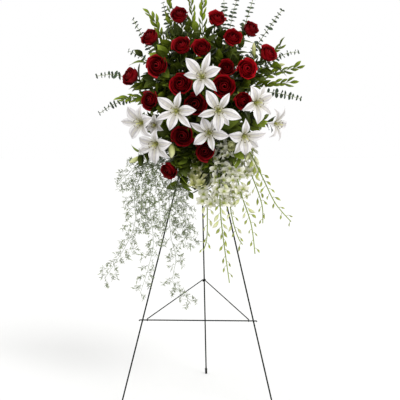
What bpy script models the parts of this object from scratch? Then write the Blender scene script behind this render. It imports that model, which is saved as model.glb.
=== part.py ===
"""A standing funeral spray: cut flowers in wet floral foam, hung on a three-legged wire easel.

Metres, +Z up, front towards -Y. While modelling, the easel's top pin is over X = 0, Y = 0. At the end
one empty carries every piece to the middle of the part's own footprint.
"""

import math
import random

import bmesh
import bpy
from mathutils import Matrix, Vector
from mathutils.geometry import interpolate_bezier

SEED = 7
GAP = 0.0003
MERGE = 1e-5
FOOTPRINT_SHIFT = (-0.002, 0.010, 0.0)

# The wire easel
PIN_HEIGHT = 1.2
PIN_RADIUS = 0.0025
PIN_HALF_LENGTH = 0.031
PIN_HEAD = 0.002
LEG_RADIUS = 0.003
FRONT_FOOT_X = 0.300
FRONT_FOOT_Y = -0.280
REAR_FOOT_Y = 0.320
EYE_X = 0.011
EYE_TURN = 230
TIP_RADIUS = 0.005
TIP_LENGTH = 0.026
TIP_SOLE = 0.005
LEG_SECTION_DEPTH = LEG_RADIUS * 1.04  # a leaning leg's half depth along Y
EYE_RADIUS = PIN_RADIUS + GAP + LEG_RADIUS
CROSSBAR_RADIUS = 0.0025
CROSSBAR_HEIGHT = 0.338
CROSSBAR_OVERHANG = 0.0105
CROSSBAR_HOOK_REACH = 0.0115
CROSSBAR_HOOK_SPLAY = 0.002
BRACE_RADIUS = 0.0022
BRACE_END_X = 0.200
BRACE_JOINT_HEIGHT = 0.437
BRACE_EYE_TURN = 235
BRACE_HOOK_TURN = 125

# The foam and its tray
TRAY_WIDTH = 0.230
TRAY_LOW = 1.060
TRAY_HIGH = 1.190
TRAY_WALL = 0.003
TRAY_DEPTH = 0.036
FOAM_DEPTH = 0.075
TAB_X = 0.024
TAB_REACH = 0.010
TAB_WIDTH = 0.003
TAB_LOW = 1.178
TAB_HIGH = 1.212
PIN_PLAY = 0.0004

# Sizes that repeat on the flowers and leaves
TEPAL_THICKNESS = 0.0024
LEAF_THICKNESS = 0.0024
ROSE_STEM_RADIUS = 0.0026
LILY_STEM_RADIUS = 0.0030
THIN_STEM_RADIUS = 0.0015
ORCHID_STEM_RADIUS = 0.0016
FERN_STEM_RADIUS = 0.0010
SEPALS_SHOW_LIFT = 35
CALYX_DEPTH = 0.012
CALYX_NECK = 0.0038
BROAD_LEAF_LENGTHS = (0.058, 0.080)
BROAD_LEAF_SHAPE = 0.55
BROAD_LEAF_SHARES = (0.36, 0.56, 0.76)
EUCALYPTUS_PAIRS = 7
EUCALYPTUS_SPACING = 0.0185
EUCALYPTUS_REACH = 0.0135
EUCALYPTUS_GROWTH = 0.0009
RUSCUS_LEAVES = 8
RUSCUS_SPACING = 0.0195
RUSCUS_LEAF_LENGTHS = (0.030, 0.038)
RUSCUS_LEAF_SHAPE = 0.38
ORCHID_FIRST_DROP = 0.085
FLORET_RADII = (0.022, 0.026)
FLORET_STALKS = (0.016, 0.024)
FLORET_THICKNESS = 0.006
FLORET_SPACING = 0.027
BUD_SPACING = 0.037
BUD_STALKS = (0.010, 0.018)
BUD_LENGTHS = (0.020, 0.026)
BUD_RADIUS = 0.005
FERN_FIRST_DROP = 0.090
FERN_SPACING = (0.021, 0.029)
FERN_LEAFLET_LENGTHS = (0.026, 0.042)
FERN_LEAFLET_WIDTH = 0.011

# Each bunch of stems is pressed together where it stands in the foam
HUB_DEPTH = 0.022
HUB_SHOWS = 0.008
HUB_SPREAD = 2.6
HUB_STEM_RADIUS = 0.0012
STEM_SINKS = 0.006
STEM_CLEARS = 0.009

# Each rose: middle of the bloom (x, y, z), turn from straight ahead towards +X, lift, radius
ROSES = (
    (-0.072, -0.145, 1.536, -8, 44, 0.037),
    (0.075, -0.145, 1.520, 15, 38, 0.036),
    (-0.189, -0.147, 1.450, -40, 36, 0.038),
    (0.209, -0.150, 1.478, 50, 30, 0.034),
    (0.138, -0.180, 1.443, 10, 28, 0.037),
    (-0.060, -0.190, 1.414, -10, 26, 0.038),
    (0.018, -0.190, 1.403, 0, 28, 0.037),
    (0.276, -0.160, 1.382, 42, 28, 0.037),
    (-0.151, -0.220, 1.335, -15, 5, 0.041),
    (-0.265, -0.170, 1.297, -50, 22, 0.037),
    (-0.060, -0.248, 1.263, -5, 10, 0.042),
    (0.115, -0.200, 1.325, 5, 15, 0.032),
    (0.193, -0.230, 1.320, 20, 5, 0.039),
    (0.107, -0.260, 1.252, 10, 5, 0.043),
    (-0.182, -0.220, 1.203, -25, 0, 0.035),
    (-0.005, -0.245, 1.185, 0, 0, 0.044),
    (0.180, -0.243, 1.198, 20, -5, 0.034),
    (-0.053, -0.240, 1.065, -5, -5, 0.041),
    (0.032, -0.230, 1.006, 0, -5, 0.037),
    (-0.110, -0.200, 0.931, -30, -30, 0.035),
)
ROSE_BUNCHES = {
    "stems_left": (1, 3, 6, 9, 10, 11, 15),
    "stems_right": (2, 4, 5, 7, 8, 12, 13, 14, 17),
    "stems_low": (16, 18, 19, 20),
}

# Each lily: middle of the face (x, y, z), turn, lift, length of a tepal, angles of its six tepals, and
# the share of its length that each one reaches, because some curl back further
LILIES = (
    (0.025, -0.310, 1.290, 0, 5, 0.092, (24, 71, 131, 175, 253, 316), (0.86, 1.06, 1.01, 0.76, 0.82, 0.88)),
    (-0.075, -0.300, 1.160, -5, 0, 0.088, (3, 81, 142, 203, 253, 310), (0.9, 0.84, 1, 0.96, 0.9, 1)),
    (0.090, -0.325, 1.160, 5, 0, 0.092, (343, 56, 123, 196, 268, 306), (1, 0.86, 0.98, 0.88, 0.9, 0.76)),
    (0.050, -0.278, 1.075, 0, -5, 0.084, (353, 62, 110, 153, 214, 286), (0.95, 0.8, 0.78, 1, 0.88, 0.86)),
    (0.240, -0.270, 1.190, 30, 0, 0.082, (25, 68, 115, 205, 268, 322), (0.88, 0.92, 0.84, 0.88, 1, 0.92)),
    (0.189, -0.270, 1.057, 15, -20, 0.084, (10, 91, 172, 243, 279, 325), (1, 0.86, 0.76, 0.94, 0.88, 0.88)),
    (0.316, -0.200, 1.108, 58, -12, 0.078, (0, 60, 120, 180, 240, 300), (0.9, 1, 0.9, 0.85, 0.8, 1)),
    (-0.224, -0.24, 1.114, -35, -5, 0.086, (15, 80, 128, 176, 232, 305), (0.75, 0.84, 1, 1.12, 0.92, 0.8)),
    (-0.165, -0.25, 1.03, -25, -15, 0.084, (5, 76, 160, 200, 264, 318), (0.88, 0.72, 0.88, 1.02, 0.96, 0.94)),
    (-0.167, -0.220, 1.106, -18, 0, 0.048, (30, 90, 150, 210, 270, 330), (0.9, 0.95, 0.9, 0.9, 0.9, 0.9)),
)
LILY_BUNCHES = {
    "stems_left": (2, 8, 9, 10),
    "stems_right": (1, 3, 5, 6, 7),
    "stems_low": (4,),
}

# Closed lily buds: bunch, foot (x, y, z), tip (x, y, z), radius
LILY_BUDS = (
    ("stems_right", (0.222, -0.150, 1.370), (0.220, -0.155, 1.425), 0.008),
    ("stems_right", (0.300, -0.150, 1.335), (0.340, -0.160, 1.340), 0.006),
    ("stems_left", (-0.100, -0.213, 1.040), (-0.097, -0.238, 0.980), 0.013),
    ("stems_left", (-0.218, -0.200, 0.986), (-0.264, -0.215, 0.962), 0.009),
    ("stems_right", (0.130, -0.210, 1.045), (0.138, -0.262, 1.024), 0.022),
)

# Where each bunch is pushed in the foam: hole middle, direction out of the foam, hole radius
HUBS = {
    "stems_left": ((-0.055, -1, 1.145), (0, -1, 0), 0.0085),
    "stems_right": ((0.055, -1, 1.145), (0, -1, 0), 0.0085),
    "stems_low": ((0.000, -1, 1.120), (0, -1, 0), 0.0065),
    "eucalyptus_left": ((-0.060, -0.084, 1), (0, 0, 1), 0.0050),
    "eucalyptus_right": ((0.060, -0.084, 1), (0, 0, 1), 0.0050),
    "ruscus_left": ((-0.042, -0.101, 1), (0, 0, 1), 0.0045),
    "ruscus_right": ((0.042, -0.101, 1), (0, 0, 1), 0.0045),
    "orchid_1": ((0.004, -1, 1.080), (0, -1, 0), 0.0026),
    "orchid_2": ((0.022, -1, 1.080), (0, -1, 0), 0.0026),
    "orchid_3": ((0.040, -1, 1.080), (0, -1, 0), 0.0026),
    "orchid_4": ((0.058, -1, 1.080), (0, -1, 0), 0.0026),
    "orchid_5": ((0.076, -1, 1.080), (0, -1, 0), 0.0026),
    "orchid_6": ((0.094, -1, 1.080), (0, -1, 0), 0.0026),
    "fern_left": ((-0.092, -1, 1.080), (0, -1, 0), 0.0030),
    "fern_middle": ((-0.066, -1, 1.080), (0, -1, 0), 0.0030),
    "fern_right": ((-0.040, -1, 1.080), (0, -1, 0), 0.0030),
}

# Eucalyptus and ruscus stems: bunch, where the leaves start (x, z), tip (x, z), depth at the tip
EUCALYPTUS = (
    ("eucalyptus_left", (-0.320, 1.305), (-0.415, 1.305), -0.060),
    ("eucalyptus_left", (-0.320, 1.200), (-0.405, 1.155), -0.060),
    ("eucalyptus_left", (-0.235, 1.475), (-0.265, 1.530), -0.060),
    ("eucalyptus_left", (-0.215, 1.365), (-0.285, 1.405), -0.060),
    ("eucalyptus_left", (-0.115, 1.465), (-0.145, 1.595), -0.060),
    ("eucalyptus_right", (0.100, 1.555), (0.090, 1.625), -0.060),
    ("eucalyptus_right", (0.125, 1.500), (0.150, 1.600), -0.060),
    ("eucalyptus_right", (0.190, 1.525), (0.220, 1.620), -0.060),
    ("eucalyptus_right", (0.250, 1.450), (0.330, 1.560), -0.060),
    ("eucalyptus_right", (0.320, 1.375), (0.395, 1.395), -0.060),
    ("eucalyptus_right", (0.285, 1.235), (0.405, 1.210), -0.060),
)
RUSCUS = (
    ("ruscus_left", (-0.165, 1.500), (-0.210, 1.570), -0.090),
    ("ruscus_left", (-0.115, 1.570), (-0.115, 1.625), -0.090),
    ("ruscus_left", (-0.025, 1.515), (-0.035, 1.630), -0.090),
    ("ruscus_left", (-0.245, 1.220), (-0.335, 1.210), -0.090),
    ("ruscus_right", (0.015, 1.500), (0.025, 1.645), -0.090),
    ("ruscus_right", (0.250, 1.295), (0.415, 1.340), -0.090),
    ("ruscus_right", (0.270, 1.265), (0.390, 1.275), -0.090),
    ("ruscus_right", (0.305, 1.400), (0.345, 1.430), -0.090),
)

# Hanging orchid sprays: the stem's way down as (x, z), its depth near the foam and further down, and
# how many florets it opens
ORCHIDS = (
    (
        "orchid_1",
        ((0.015, 1.040), (0.025, 0.970), (0.035, 0.835), (0.035, 0.670), (0.020, 0.610)),
        (-0.132, -0.160),
        8,
    ),
    (
        "orchid_2",
        ((0.075, 1.030), (0.085, 0.950), (0.090, 0.785), (0.100, 0.675), (0.125, 0.490)),
        (-0.182, -0.210),
        9,
    ),
    (
        "orchid_3",
        ((0.100, 1.030), (0.110, 0.950), (0.130, 0.765), (0.155, 0.670), (0.175, 0.635)),
        (-0.132, -0.160),
        9,
    ),
    (
        "orchid_4",
        ((0.125, 1.020), (0.140, 0.970), (0.170, 0.845), (0.210, 0.720), (0.225, 0.605)),
        (-0.182, -0.215),
        8,
    ),
    (
        "orchid_5",
        ((0.150, 1.040), (0.175, 1.000), (0.205, 0.925), (0.250, 0.800), (0.255, 0.720)),
        (-0.135, -0.165),
        6,
    ),
    (
        "orchid_6",
        ((0.170, 1.050), (0.210, 0.990), (0.255, 0.900), (0.305, 0.800), (0.365, 0.730)),
        (-0.175, -0.200),
        4,
    ),
)

# Trailing fern strands: the strand's way down as (x, z), and its two depths
FERNS = (
    (
        "fern_left",
        ((-0.15, 1.03), (-0.205, 0.94), (-0.245, 0.85), (-0.246, 0.725), (-0.285, 0.63), (-0.37, 0.50)),
        (-0.131, -0.200),
    ),
    ("fern_left", ((-0.170, 1.010), (-0.225, 0.970), (-0.280, 0.910), (-0.320, 0.870)), (-0.131, -0.190)),
    (
        "fern_middle",
        ((-0.12, 1.01), (-0.16, 0.93), (-0.184, 0.815), (-0.17, 0.66), (-0.187, 0.563), (-0.224, 0.448)),
        (-0.131, -0.235),
    ),
    (
        "fern_right",
        ((-0.072, 1.01), (-0.11, 0.85), (-0.108, 0.68), (-0.088, 0.583), (-0.098, 0.48), (-0.025, 0.41)),
        (-0.131, -0.175),
    ),
    ("fern_right", ((-0.038, 0.990), (-0.065, 0.835), (-0.045, 0.755), (-0.025, 0.655)), (-0.131, -0.165)),
)

COLOURS = {
    # base colour, roughness, metallic
    "painted_wire": ((0.035, 0.055, 0.045), 0.45, 0.6),
    "black_rubber": ((0.010, 0.010, 0.010), 0.80, 0.0),
    "tray_plastic": ((0.030, 0.090, 0.040), 0.45, 0.0),
    "wet_foam": ((0.040, 0.130, 0.050), 0.95, 0.0),
    "red_petal": ((0.300, 0.004, 0.014), 0.55, 0.0),
    "white_petal": ((0.780, 0.770, 0.710), 0.50, 0.0),
    "orchid": ((0.660, 0.700, 0.450), 0.50, 0.0),
    "dark_leaf": ((0.030, 0.085, 0.020), 0.40, 0.0),
    "grey_leaf": ((0.055, 0.095, 0.065), 0.60, 0.0),
    "bright_leaf": ((0.080, 0.170, 0.025), 0.40, 0.0),
    "fern": ((0.130, 0.190, 0.090), 0.60, 0.0),
}


def clear_scene():
    for old_object in list(bpy.data.objects):
        bpy.data.objects.remove(old_object, do_unlink=True)


def make_material(name):
    colour, roughness, metallic = COLOURS[name]
    material = bpy.data.materials.new(name)
    material.use_nodes = True
    shader = material.node_tree.nodes["Principled BSDF"]
    shader.inputs["Base Color"].default_value = (*colour, 1.0)
    shader.inputs["Roughness"].default_value = roughness
    shader.inputs["Metallic"].default_value = metallic
    material.diffuse_color = (*colour, 1.0)
    return material


# Directions and frames


def facing(turn, lift):
    """A unit vector: straight ahead is -Y, turn goes towards +X and lift goes up, in degrees."""
    turn, lift = math.radians(turn), math.radians(lift)
    return Vector((math.sin(turn) * math.cos(lift), -math.cos(turn) * math.cos(lift), math.sin(lift)))


def frame_on(origin, normal, about=Vector((0, 0, 1))):
    """A matrix whose Z is the normal, whose X lies across about, and whose place is origin."""
    z_axis = Vector(normal).normalized()
    x_axis = Vector(about).cross(z_axis)
    if x_axis.length < 0.05:
        x_axis = Vector((1, 0, 0)).cross(z_axis)
    x_axis.normalize()
    y_axis = z_axis.cross(x_axis)
    return Matrix.Translation(origin) @ Matrix((x_axis, y_axis, z_axis)).transposed().to_4x4()


def frame_along(origin, x_axis, near_normal):
    """A matrix with its X on the given axis and its Z as near the normal as that allows."""
    x_axis = Vector(x_axis).normalized()
    y_axis = Vector(near_normal).cross(x_axis).normalized()
    z_axis = x_axis.cross(y_axis)
    return Matrix.Translation(origin) @ Matrix((x_axis, y_axis, z_axis)).transposed().to_4x4()


def smooth_path(points, step):
    """Points about one step apart on a smooth curve through the given points."""
    points = [Vector(point) for point in points]
    path = [points[0]]
    for i in range(len(points) - 1):
        start, end = points[i], points[i + 1]
        before = points[max(i - 1, 0)]
        after = points[min(i + 2, len(points) - 1)]
        handle_out = start + (end - before) / 6
        handle_in = end - (after - start) / 6
        count = max(1, round((end - start).length / step))
        path += interpolate_bezier(start, handle_out, handle_in, end, count + 1)[1:]
    return path


def path_length(path):
    return sum((b - a).length for a, b in zip(path, path[1:]))


def along(path, share):
    """The point at a share of the path's length, and the direction of the path there."""
    lengths = [(b - a).length for a, b in zip(path, path[1:])]
    left = share * sum(lengths)
    for (a, b), length in zip(zip(path, path[1:]), lengths):
        if left <= length:
            return a.lerp(b, left / length), (b - a).normalized()
        left -= length
    return path[-1].copy(), (path[-1] - path[-2]).normalized()


# Space that each node takes, kept as balls, so that no two nodes cross


class Room:
    CELL = 0.06

    def __init__(self):
        self.cells = {}

    def cell(self, point):
        return tuple(math.floor(value / self.CELL) for value in point)

    def fill(self, node, point, radius):
        self.cells.setdefault(self.cell(point), []).append((node, Vector(point), radius))

    def fill_path(self, node, path, radius):
        for a, b in zip(path, path[1:]):
            count = max(1, math.ceil((b - a).length / 0.006))
            for i in range(count + 1):
                self.fill(node, a.lerp(b, i / count), radius)

    def is_free(self, node, balls, own_gap=None):
        """True where no other node is, nor, with own_gap, an earlier repeat of the same node."""
        for point, radius in balls:
            x, y, z = self.cell(point)
            for key in ((x + i, y + j, z + k) for i in (-1, 0, 1) for j in (-1, 0, 1) for k in (-1, 0, 1)):
                for owner, place, reach in self.cells.get(key, ()):
                    apart = (place - point).length
                    if owner.rstrip("+") != node and apart < reach + radius + 0.001:
                        return False
                    if owner == node + "+" and own_gap and apart < own_gap:
                        return False
        return True


# Meshes for one temporary piece


def add_piece(pieces, bm, matrix=None):
    """Puts the mesh in a temporary object and adds that to the pieces of a node."""
    if matrix is not None:
        bm.transform(matrix)
    bmesh.ops.recalc_face_normals(bm, faces=bm.faces)
    if bm.calc_volume(signed=True) < 0:
        bmesh.ops.reverse_faces(bm, faces=bm.faces)
    mesh = bpy.data.meshes.new("piece")
    bm.to_mesh(mesh)
    bm.free()
    piece = bpy.data.objects.new("piece", mesh)
    pieces.append(piece)
    return piece


def poly_curve(name, points, radii):
    """An object with one straight-sided spline."""
    curve = bpy.data.curves.new(name, "CURVE")
    curve.dimensions = "3D"
    spline = curve.splines.new("POLY")
    spline.points.add(len(points) - 1)
    for spot, place, radius in zip(spline.points, points, radii):
        spot.co = (*place, 1.0)
        spot.radius = radius
    return bpy.data.objects.new(name, curve)


def tube_mesh(points, radii, sides):
    """A mesh of a bevelled curve with closed ends; radii holds one number for each point."""
    corners = [math.tau * (i + 0.5) / sides for i in range(sides)]
    ring = poly_curve("ring", [(math.cos(a), math.sin(a), 0) for a in corners], [1.0] * sides)
    ring.data.splines[0].use_cyclic_u = True
    guide = poly_curve("tube", points, radii)
    guide.data.bevel_mode = "OBJECT"
    guide.data.bevel_object = ring
    guide.data.use_fill_caps = True
    bpy.context.scene.collection.objects.link(guide)
    graph = bpy.context.evaluated_depsgraph_get()
    mesh = bpy.data.meshes.new_from_object(guide.evaluated_get(graph))
    for helper in (guide, ring):
        line = helper.data
        bpy.data.objects.remove(helper)
        bpy.data.curves.remove(line)
    bm = bmesh.new()
    bm.from_mesh(mesh)
    bpy.data.meshes.remove(mesh)
    bmesh.ops.remove_doubles(bm, verts=bm.verts, dist=MERGE)
    return bm


def tube(pieces, points, start_radius, end_radius=None, sides=4):
    """A tube along the points that narrows evenly from its start to its end."""
    end_radius = start_radius if end_radius is None else end_radius
    last = len(points) - 1
    radii = [start_radius + (end_radius - start_radius) * i / last for i in range(last + 1)]
    return add_piece(pieces, tube_mesh(points, radii, sides))


BLADE_SPOKES = {
    # for each vertex round a section: column, and share of the thickness that it is lifted by
    4: ((1, 0), (0, 0.5), (-1, 0), (0, -0.5)),
    3: ((1, 0), (-1, 0), (0, -1.0)),
}


def sphere_row(vertex, segments):
    """The row of a ball's vertex, counted from its lower pole."""
    return round((1 - math.acos(max(-1.0, min(1.0, vertex.co.z))) / math.pi) * segments)


def blade(pieces, rows, place, thickness, matrix, sides=4):
    """A thin leaf or petal with sharp edges: place(row, column) gives its outline and its middle line.

    Row 0 is its foot and row rows + 1 its tip. With four sides its middle is thick by so much and its
    fold shows on both faces; with three its upper face is flat and a rib stands out below.
    """
    bm = bmesh.new()
    bmesh.ops.create_uvsphere(bm, u_segments=sides, v_segments=rows + 1, radius=1.0)
    for vertex in bm.verts:
        row = sphere_row(vertex, rows + 1)
        spoke = round(math.atan2(vertex.co.y, vertex.co.x) / math.tau * sides) % sides
        if row in (0, rows + 1):
            vertex.co = place(row, 0)
            continue
        onward = place(row + 1, 0) - place(row - 1, 0)
        normal = (place(row, 1) - place(row, -1)).cross(onward).normalized()
        column, lift = BLADE_SPOKES[sides][spoke]
        vertex.co = place(row, column) + normal * lift * thickness
    return add_piece(pieces, bm, matrix)


def star(pieces, lobes, outline, radius, thickness, cup, matrix, first_reach=None):
    """A flat rosette of lobes, thick in the middle and sharp at its rim.

    The outline holds the points of one lobe as (share of its sector from -0.5 to 0.5, share of radius).
    The first lobe, along X, may reach further than the others.
    """
    count = lobes * len(outline)
    bm = bmesh.new()
    bmesh.ops.create_uvsphere(bm, u_segments=count, v_segments=2, radius=1.0)
    for vertex in bm.verts:
        if abs(vertex.co.z) > 0.5:
            vertex.co = (0, 0, math.copysign(thickness / 2, vertex.co.z))
            continue
        index = round(math.atan2(vertex.co.y, vertex.co.x) / math.tau * count) % count
        lobe, corner = divmod(index, len(outline))
        share, reach = outline[corner]
        angle = (lobe + share) / lobes * math.tau
        length = reach * radius
        if first_reach and lobe == 0 and reach > 0.5:
            length = first_reach
        vertex.co = (length * math.cos(angle), length * math.sin(angle), cup * length)
    return add_piece(pieces, bm, matrix)


def cone(pieces, foot, tip, foot_radius, tip_radius, sides):
    """A cone or, with two radii, a frustum from foot to tip."""
    foot, tip = Vector(foot), Vector(tip)
    length = (tip - foot).length
    bm = bmesh.new()
    bmesh.ops.create_cone(
        bm,
        cap_ends=True,
        segments=sides,
        radius1=foot_radius,
        radius2=tip_radius,
        depth=length,
        matrix=Matrix.Translation((0, 0, length / 2)),
    )
    return add_piece(pieces, bm, frame_on(foot, tip - foot))


def bud(pieces, foot, tip, radius, sides, rings):
    """A closed bud: a ball stretched from foot to tip."""
    foot, tip = Vector(foot), Vector(tip)
    bm = bmesh.new()
    bmesh.ops.create_uvsphere(bm, u_segments=sides, v_segments=rings, radius=1.0)
    bm.transform(Matrix.Diagonal((radius, radius, (tip - foot).length / 2, 1.0)))
    return add_piece(pieces, bm, frame_on((foot + tip) / 2, tip - foot))


# Nodes


def bodies_of(bm):
    """The faces of each connected body with its signed volume, largest last."""
    left = set(bm.faces)
    bodies = []
    while left:
        body = {left.pop()}
        edge_of_search = set(body)
        while edge_of_search:
            face = edge_of_search.pop()
            for edge in face.edges:
                for other in edge.link_faces:
                    if other in left:
                        left.remove(other)
                        body.add(other)
                        edge_of_search.add(other)
        volume = sum(f.verts[0].co.dot(f.verts[1].co.cross(f.verts[2].co)) for f in body) / 6
        bodies.append((volume, body))
    return sorted(bodies, key=lambda entry: entry[0])


def tidied(mesh, distance):
    """A copy of the mesh with near points merged, of which the largest body is kept."""
    bm = bmesh.new()
    bm.from_mesh(mesh)
    bmesh.ops.triangulate(bm, faces=bm.faces)
    whole = bm.calc_volume()
    if distance:
        bmesh.ops.remove_doubles(bm, verts=bm.verts, dist=distance)
        bmesh.ops.dissolve_degenerate(bm, edges=bm.edges, dist=distance / 4)
        bmesh.ops.triangulate(bm, faces=bm.faces)
    scraps = [face for _, body in bodies_of(bm)[:-1] for face in body]
    bmesh.ops.delete(bm, geom=scraps, context="FACES")
    return bm, bm.calc_volume() / whole


def tidy_union(mesh):
    """Merges points as far apart as the mesh stays closed with, and drops scraps and sealed hollows."""
    for distance in (1e-4, 5e-5, 2e-5, 5e-6, 0.0):
        bm, kept = tidied(mesh, distance)
        closed = all(edge.is_manifold and edge.is_contiguous for edge in bm.edges)
        closed = closed and all(vertex.is_manifold for vertex in bm.verts)
        if (closed and abs(kept - 1) < 0.01) or not distance:
            break
        bm.free()
    bm.to_mesh(mesh)
    bm.free()


class Builder:
    """Puts finished nodes in the part's collection, on the empty that carries them all."""

    def __init__(self):
        self.collection = bpy.data.collections.new("standing_funeral_spray")
        bpy.context.scene.collection.children.link(self.collection)
        self.cutters = bpy.data.collections.new("cutters")
        self.cutters.hide_render = True
        bpy.context.scene.collection.children.link(self.cutters)
        self.base = bpy.data.objects.new("footprint_middle", None)
        self.base.location = FOOTPRINT_SHIFT
        self.collection.objects.link(self.base)
        self.materials = {name: make_material(name) for name in COLOURS}

    def add(self, name, mesh, material, smooth_angle=40):
        node = bpy.data.objects.new(name, mesh)
        mesh.name = name
        mesh.materials.clear()
        mesh.materials.append(self.materials[material])
        mesh.shade_smooth()
        mesh.set_sharp_from_angle(angle=math.radians(smooth_angle))
        self.collection.objects.link(node)
        node.parent = self.base
        return node

    def add_pieces(self, name, pieces, material, smooth_angle=40, solver="EXACT"):
        """Joins temporary pieces in one closed body with one Boolean union, and removes them."""
        repeats = bpy.data.collections.new(name + "_repeats")
        bpy.context.scene.collection.children.link(repeats)
        body = pieces[0]
        bpy.context.scene.collection.objects.link(body)
        for piece in pieces[1:]:
            repeats.objects.link(piece)
        if len(pieces) > 1:
            join = body.modifiers.new("join", "BOOLEAN")
            join.operation = "UNION"
            join.operand_type = "COLLECTION"
            join.collection = repeats
            join.solver = solver
        graph = bpy.context.evaluated_depsgraph_get()
        mesh = bpy.data.meshes.new_from_object(body.evaluated_get(graph))
        for piece in pieces:
            spent = piece.data
            bpy.data.objects.remove(piece, do_unlink=True)
            bpy.data.meshes.remove(spent)
        bpy.data.collections.remove(repeats)
        tidy_union(mesh)
        return self.add(name, mesh, material, smooth_angle)

    def cut(self, node, pieces):
        """Takes the cutters out of the node with Boolean modifiers that stay on it."""
        for number, piece in enumerate(pieces):
            piece.name = f"{node.name}_cutter_{number + 1}"
            piece.display_type = "WIRE"
            piece.hide_render = True
            piece.parent = self.base
            self.cutters.objects.link(piece)
            hole = node.modifiers.new(f"hole_{number + 1}", "BOOLEAN")
            hole.operation = "DIFFERENCE"
            hole.object = piece


# The easel


def leg_axis(side):
    """Both ends of a leg's straight line: where its eye begins and its foot. The rear leg is side 0."""
    pin = Vector((side * EYE_X, 0, PIN_HEIGHT))
    foot = Vector((side * FRONT_FOOT_X, FRONT_FOOT_Y if side else REAR_FOOT_Y, 0))
    out = Vector((0, -PIN_HEIGHT if side else PIN_HEIGHT, abs(foot.y))).normalized()
    return pin + out * EYE_RADIUS, foot


def leg_at(side, height):
    top, foot = leg_axis(side)
    return foot.lerp(top, height / top.z)


def hook_points(centre, out, up, radius, turn, steps=7):
    """An open eye: an arc about centre that starts at out and sets off towards up."""
    angles = [math.radians(turn) * i / steps for i in range(steps + 1)]
    return [centre + radius * (math.cos(a) * out + math.sin(a) * up) for a in angles]


def make_leg(build, room, name, side):
    top, foot = leg_axis(side)
    rise = (top - foot).normalized()
    pin = Vector((top.x, 0, PIN_HEIGHT))
    out = (top - pin).normalized()
    onward = Vector((0, out.z, -out.y)) * (1 if side else -1)
    end = foot + rise * TIP_SOLE / rise.z
    path = [end] + hook_points(pin, out, onward, EYE_RADIUS, EYE_TURN)
    pieces = []
    tube(pieces, path, LEG_RADIUS, sides=7)
    room.fill_path(name, path, LEG_RADIUS)
    build.add_pieces(name, pieces, "painted_wire")


def make_tip(build, name, side):
    """A rubber cap on a leg's end, turned with its blind hole and cut flat on the floor."""
    top, foot = leg_axis(side)
    rise = (top - foot).normalized()
    hole = LEG_RADIUS + GAP
    sole = TIP_SOLE / rise.z - GAP
    below = -0.01
    outside = ((0, below), (TIP_RADIUS, below), (TIP_RADIUS, TIP_LENGTH))
    inside = ((hole, TIP_LENGTH), (hole, sole), (0, sole))
    bm = bmesh.new()
    corners = [bm.verts.new((radius, 0, height)) for radius, height in reversed(outside + inside)]
    for a, b in zip(corners, corners[1:]):
        bm.edges.new((a, b))
    mesh = bpy.data.meshes.new(name)
    bm.to_mesh(mesh)
    bm.free()
    node = build.add(name, mesh, "black_rubber")
    node.matrix_local = frame_on(foot, rise)
    turned = node.modifiers.new("turned", "SCREW")
    turned.steps = turned.render_steps = 10
    turned.use_merge_vertices = True
    turned.merge_threshold = MERGE
    turned.use_smooth_shade = True
    floor = []
    bm = bmesh.new()
    bmesh.ops.create_cube(bm, size=0.1)
    add_piece(floor, bm, Matrix.Translation((foot.x, foot.y, -0.05)))
    build.cut(node, floor)


def make_pin(build, room):
    """The rivet that the three legs and the tray hang on."""
    pieces = []
    shank = PIN_HALF_LENGTH + PIN_HEAD / 2
    cone(pieces, (-shank, 0, PIN_HEIGHT), (shank, 0, PIN_HEIGHT), PIN_RADIUS, PIN_RADIUS, 10)
    for side in (-1, 1):
        inner = Vector((side * PIN_HALF_LENGTH, 0, PIN_HEIGHT))
        outer = inner + Vector((side * PIN_HEAD, 0, 0))
        cone(pieces, inner, outer, PIN_RADIUS * 2, PIN_RADIUS * 2, 10)
    room.fill("top_pin", (0, 0, PIN_HEIGHT), 0.012)
    build.add_pieces("top_pin", pieces, "painted_wire")


def crossbar_line():
    """The crossbar's middle line, close behind both front legs."""
    left, right = leg_at(-1, CROSSBAR_HEIGHT), leg_at(1, CROSSBAR_HEIGHT)
    behind = Vector((0, LEG_SECTION_DEPTH + CROSSBAR_RADIUS + GAP, 0))
    return left + behind, right + behind


def make_crossbar(build, room):
    """The bar runs behind the front legs, and its ends turn forward round them."""
    left, right = crossbar_line()
    turned_end = []
    for end, side in ((left, -1), (right, 1)):
        corner = end + Vector((side * CROSSBAR_OVERHANG, 0, 0))
        tip = corner + Vector((side * CROSSBAR_HOOK_SPLAY, -CROSSBAR_HOOK_REACH, 0))
        bend = corner.lerp(tip, 0.35) + Vector((side * CROSSBAR_HOOK_SPLAY / 2, 0, 0))
        turned_end.append((corner, bend, tip))
    path = [*reversed(turned_end[0]), *turned_end[1]]
    pieces = []
    tube(pieces, path, CROSSBAR_RADIUS, sides=7)
    room.fill_path("crossbar", path, CROSSBAR_RADIUS)
    build.add_pieces("crossbar", pieces, "painted_wire")


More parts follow.
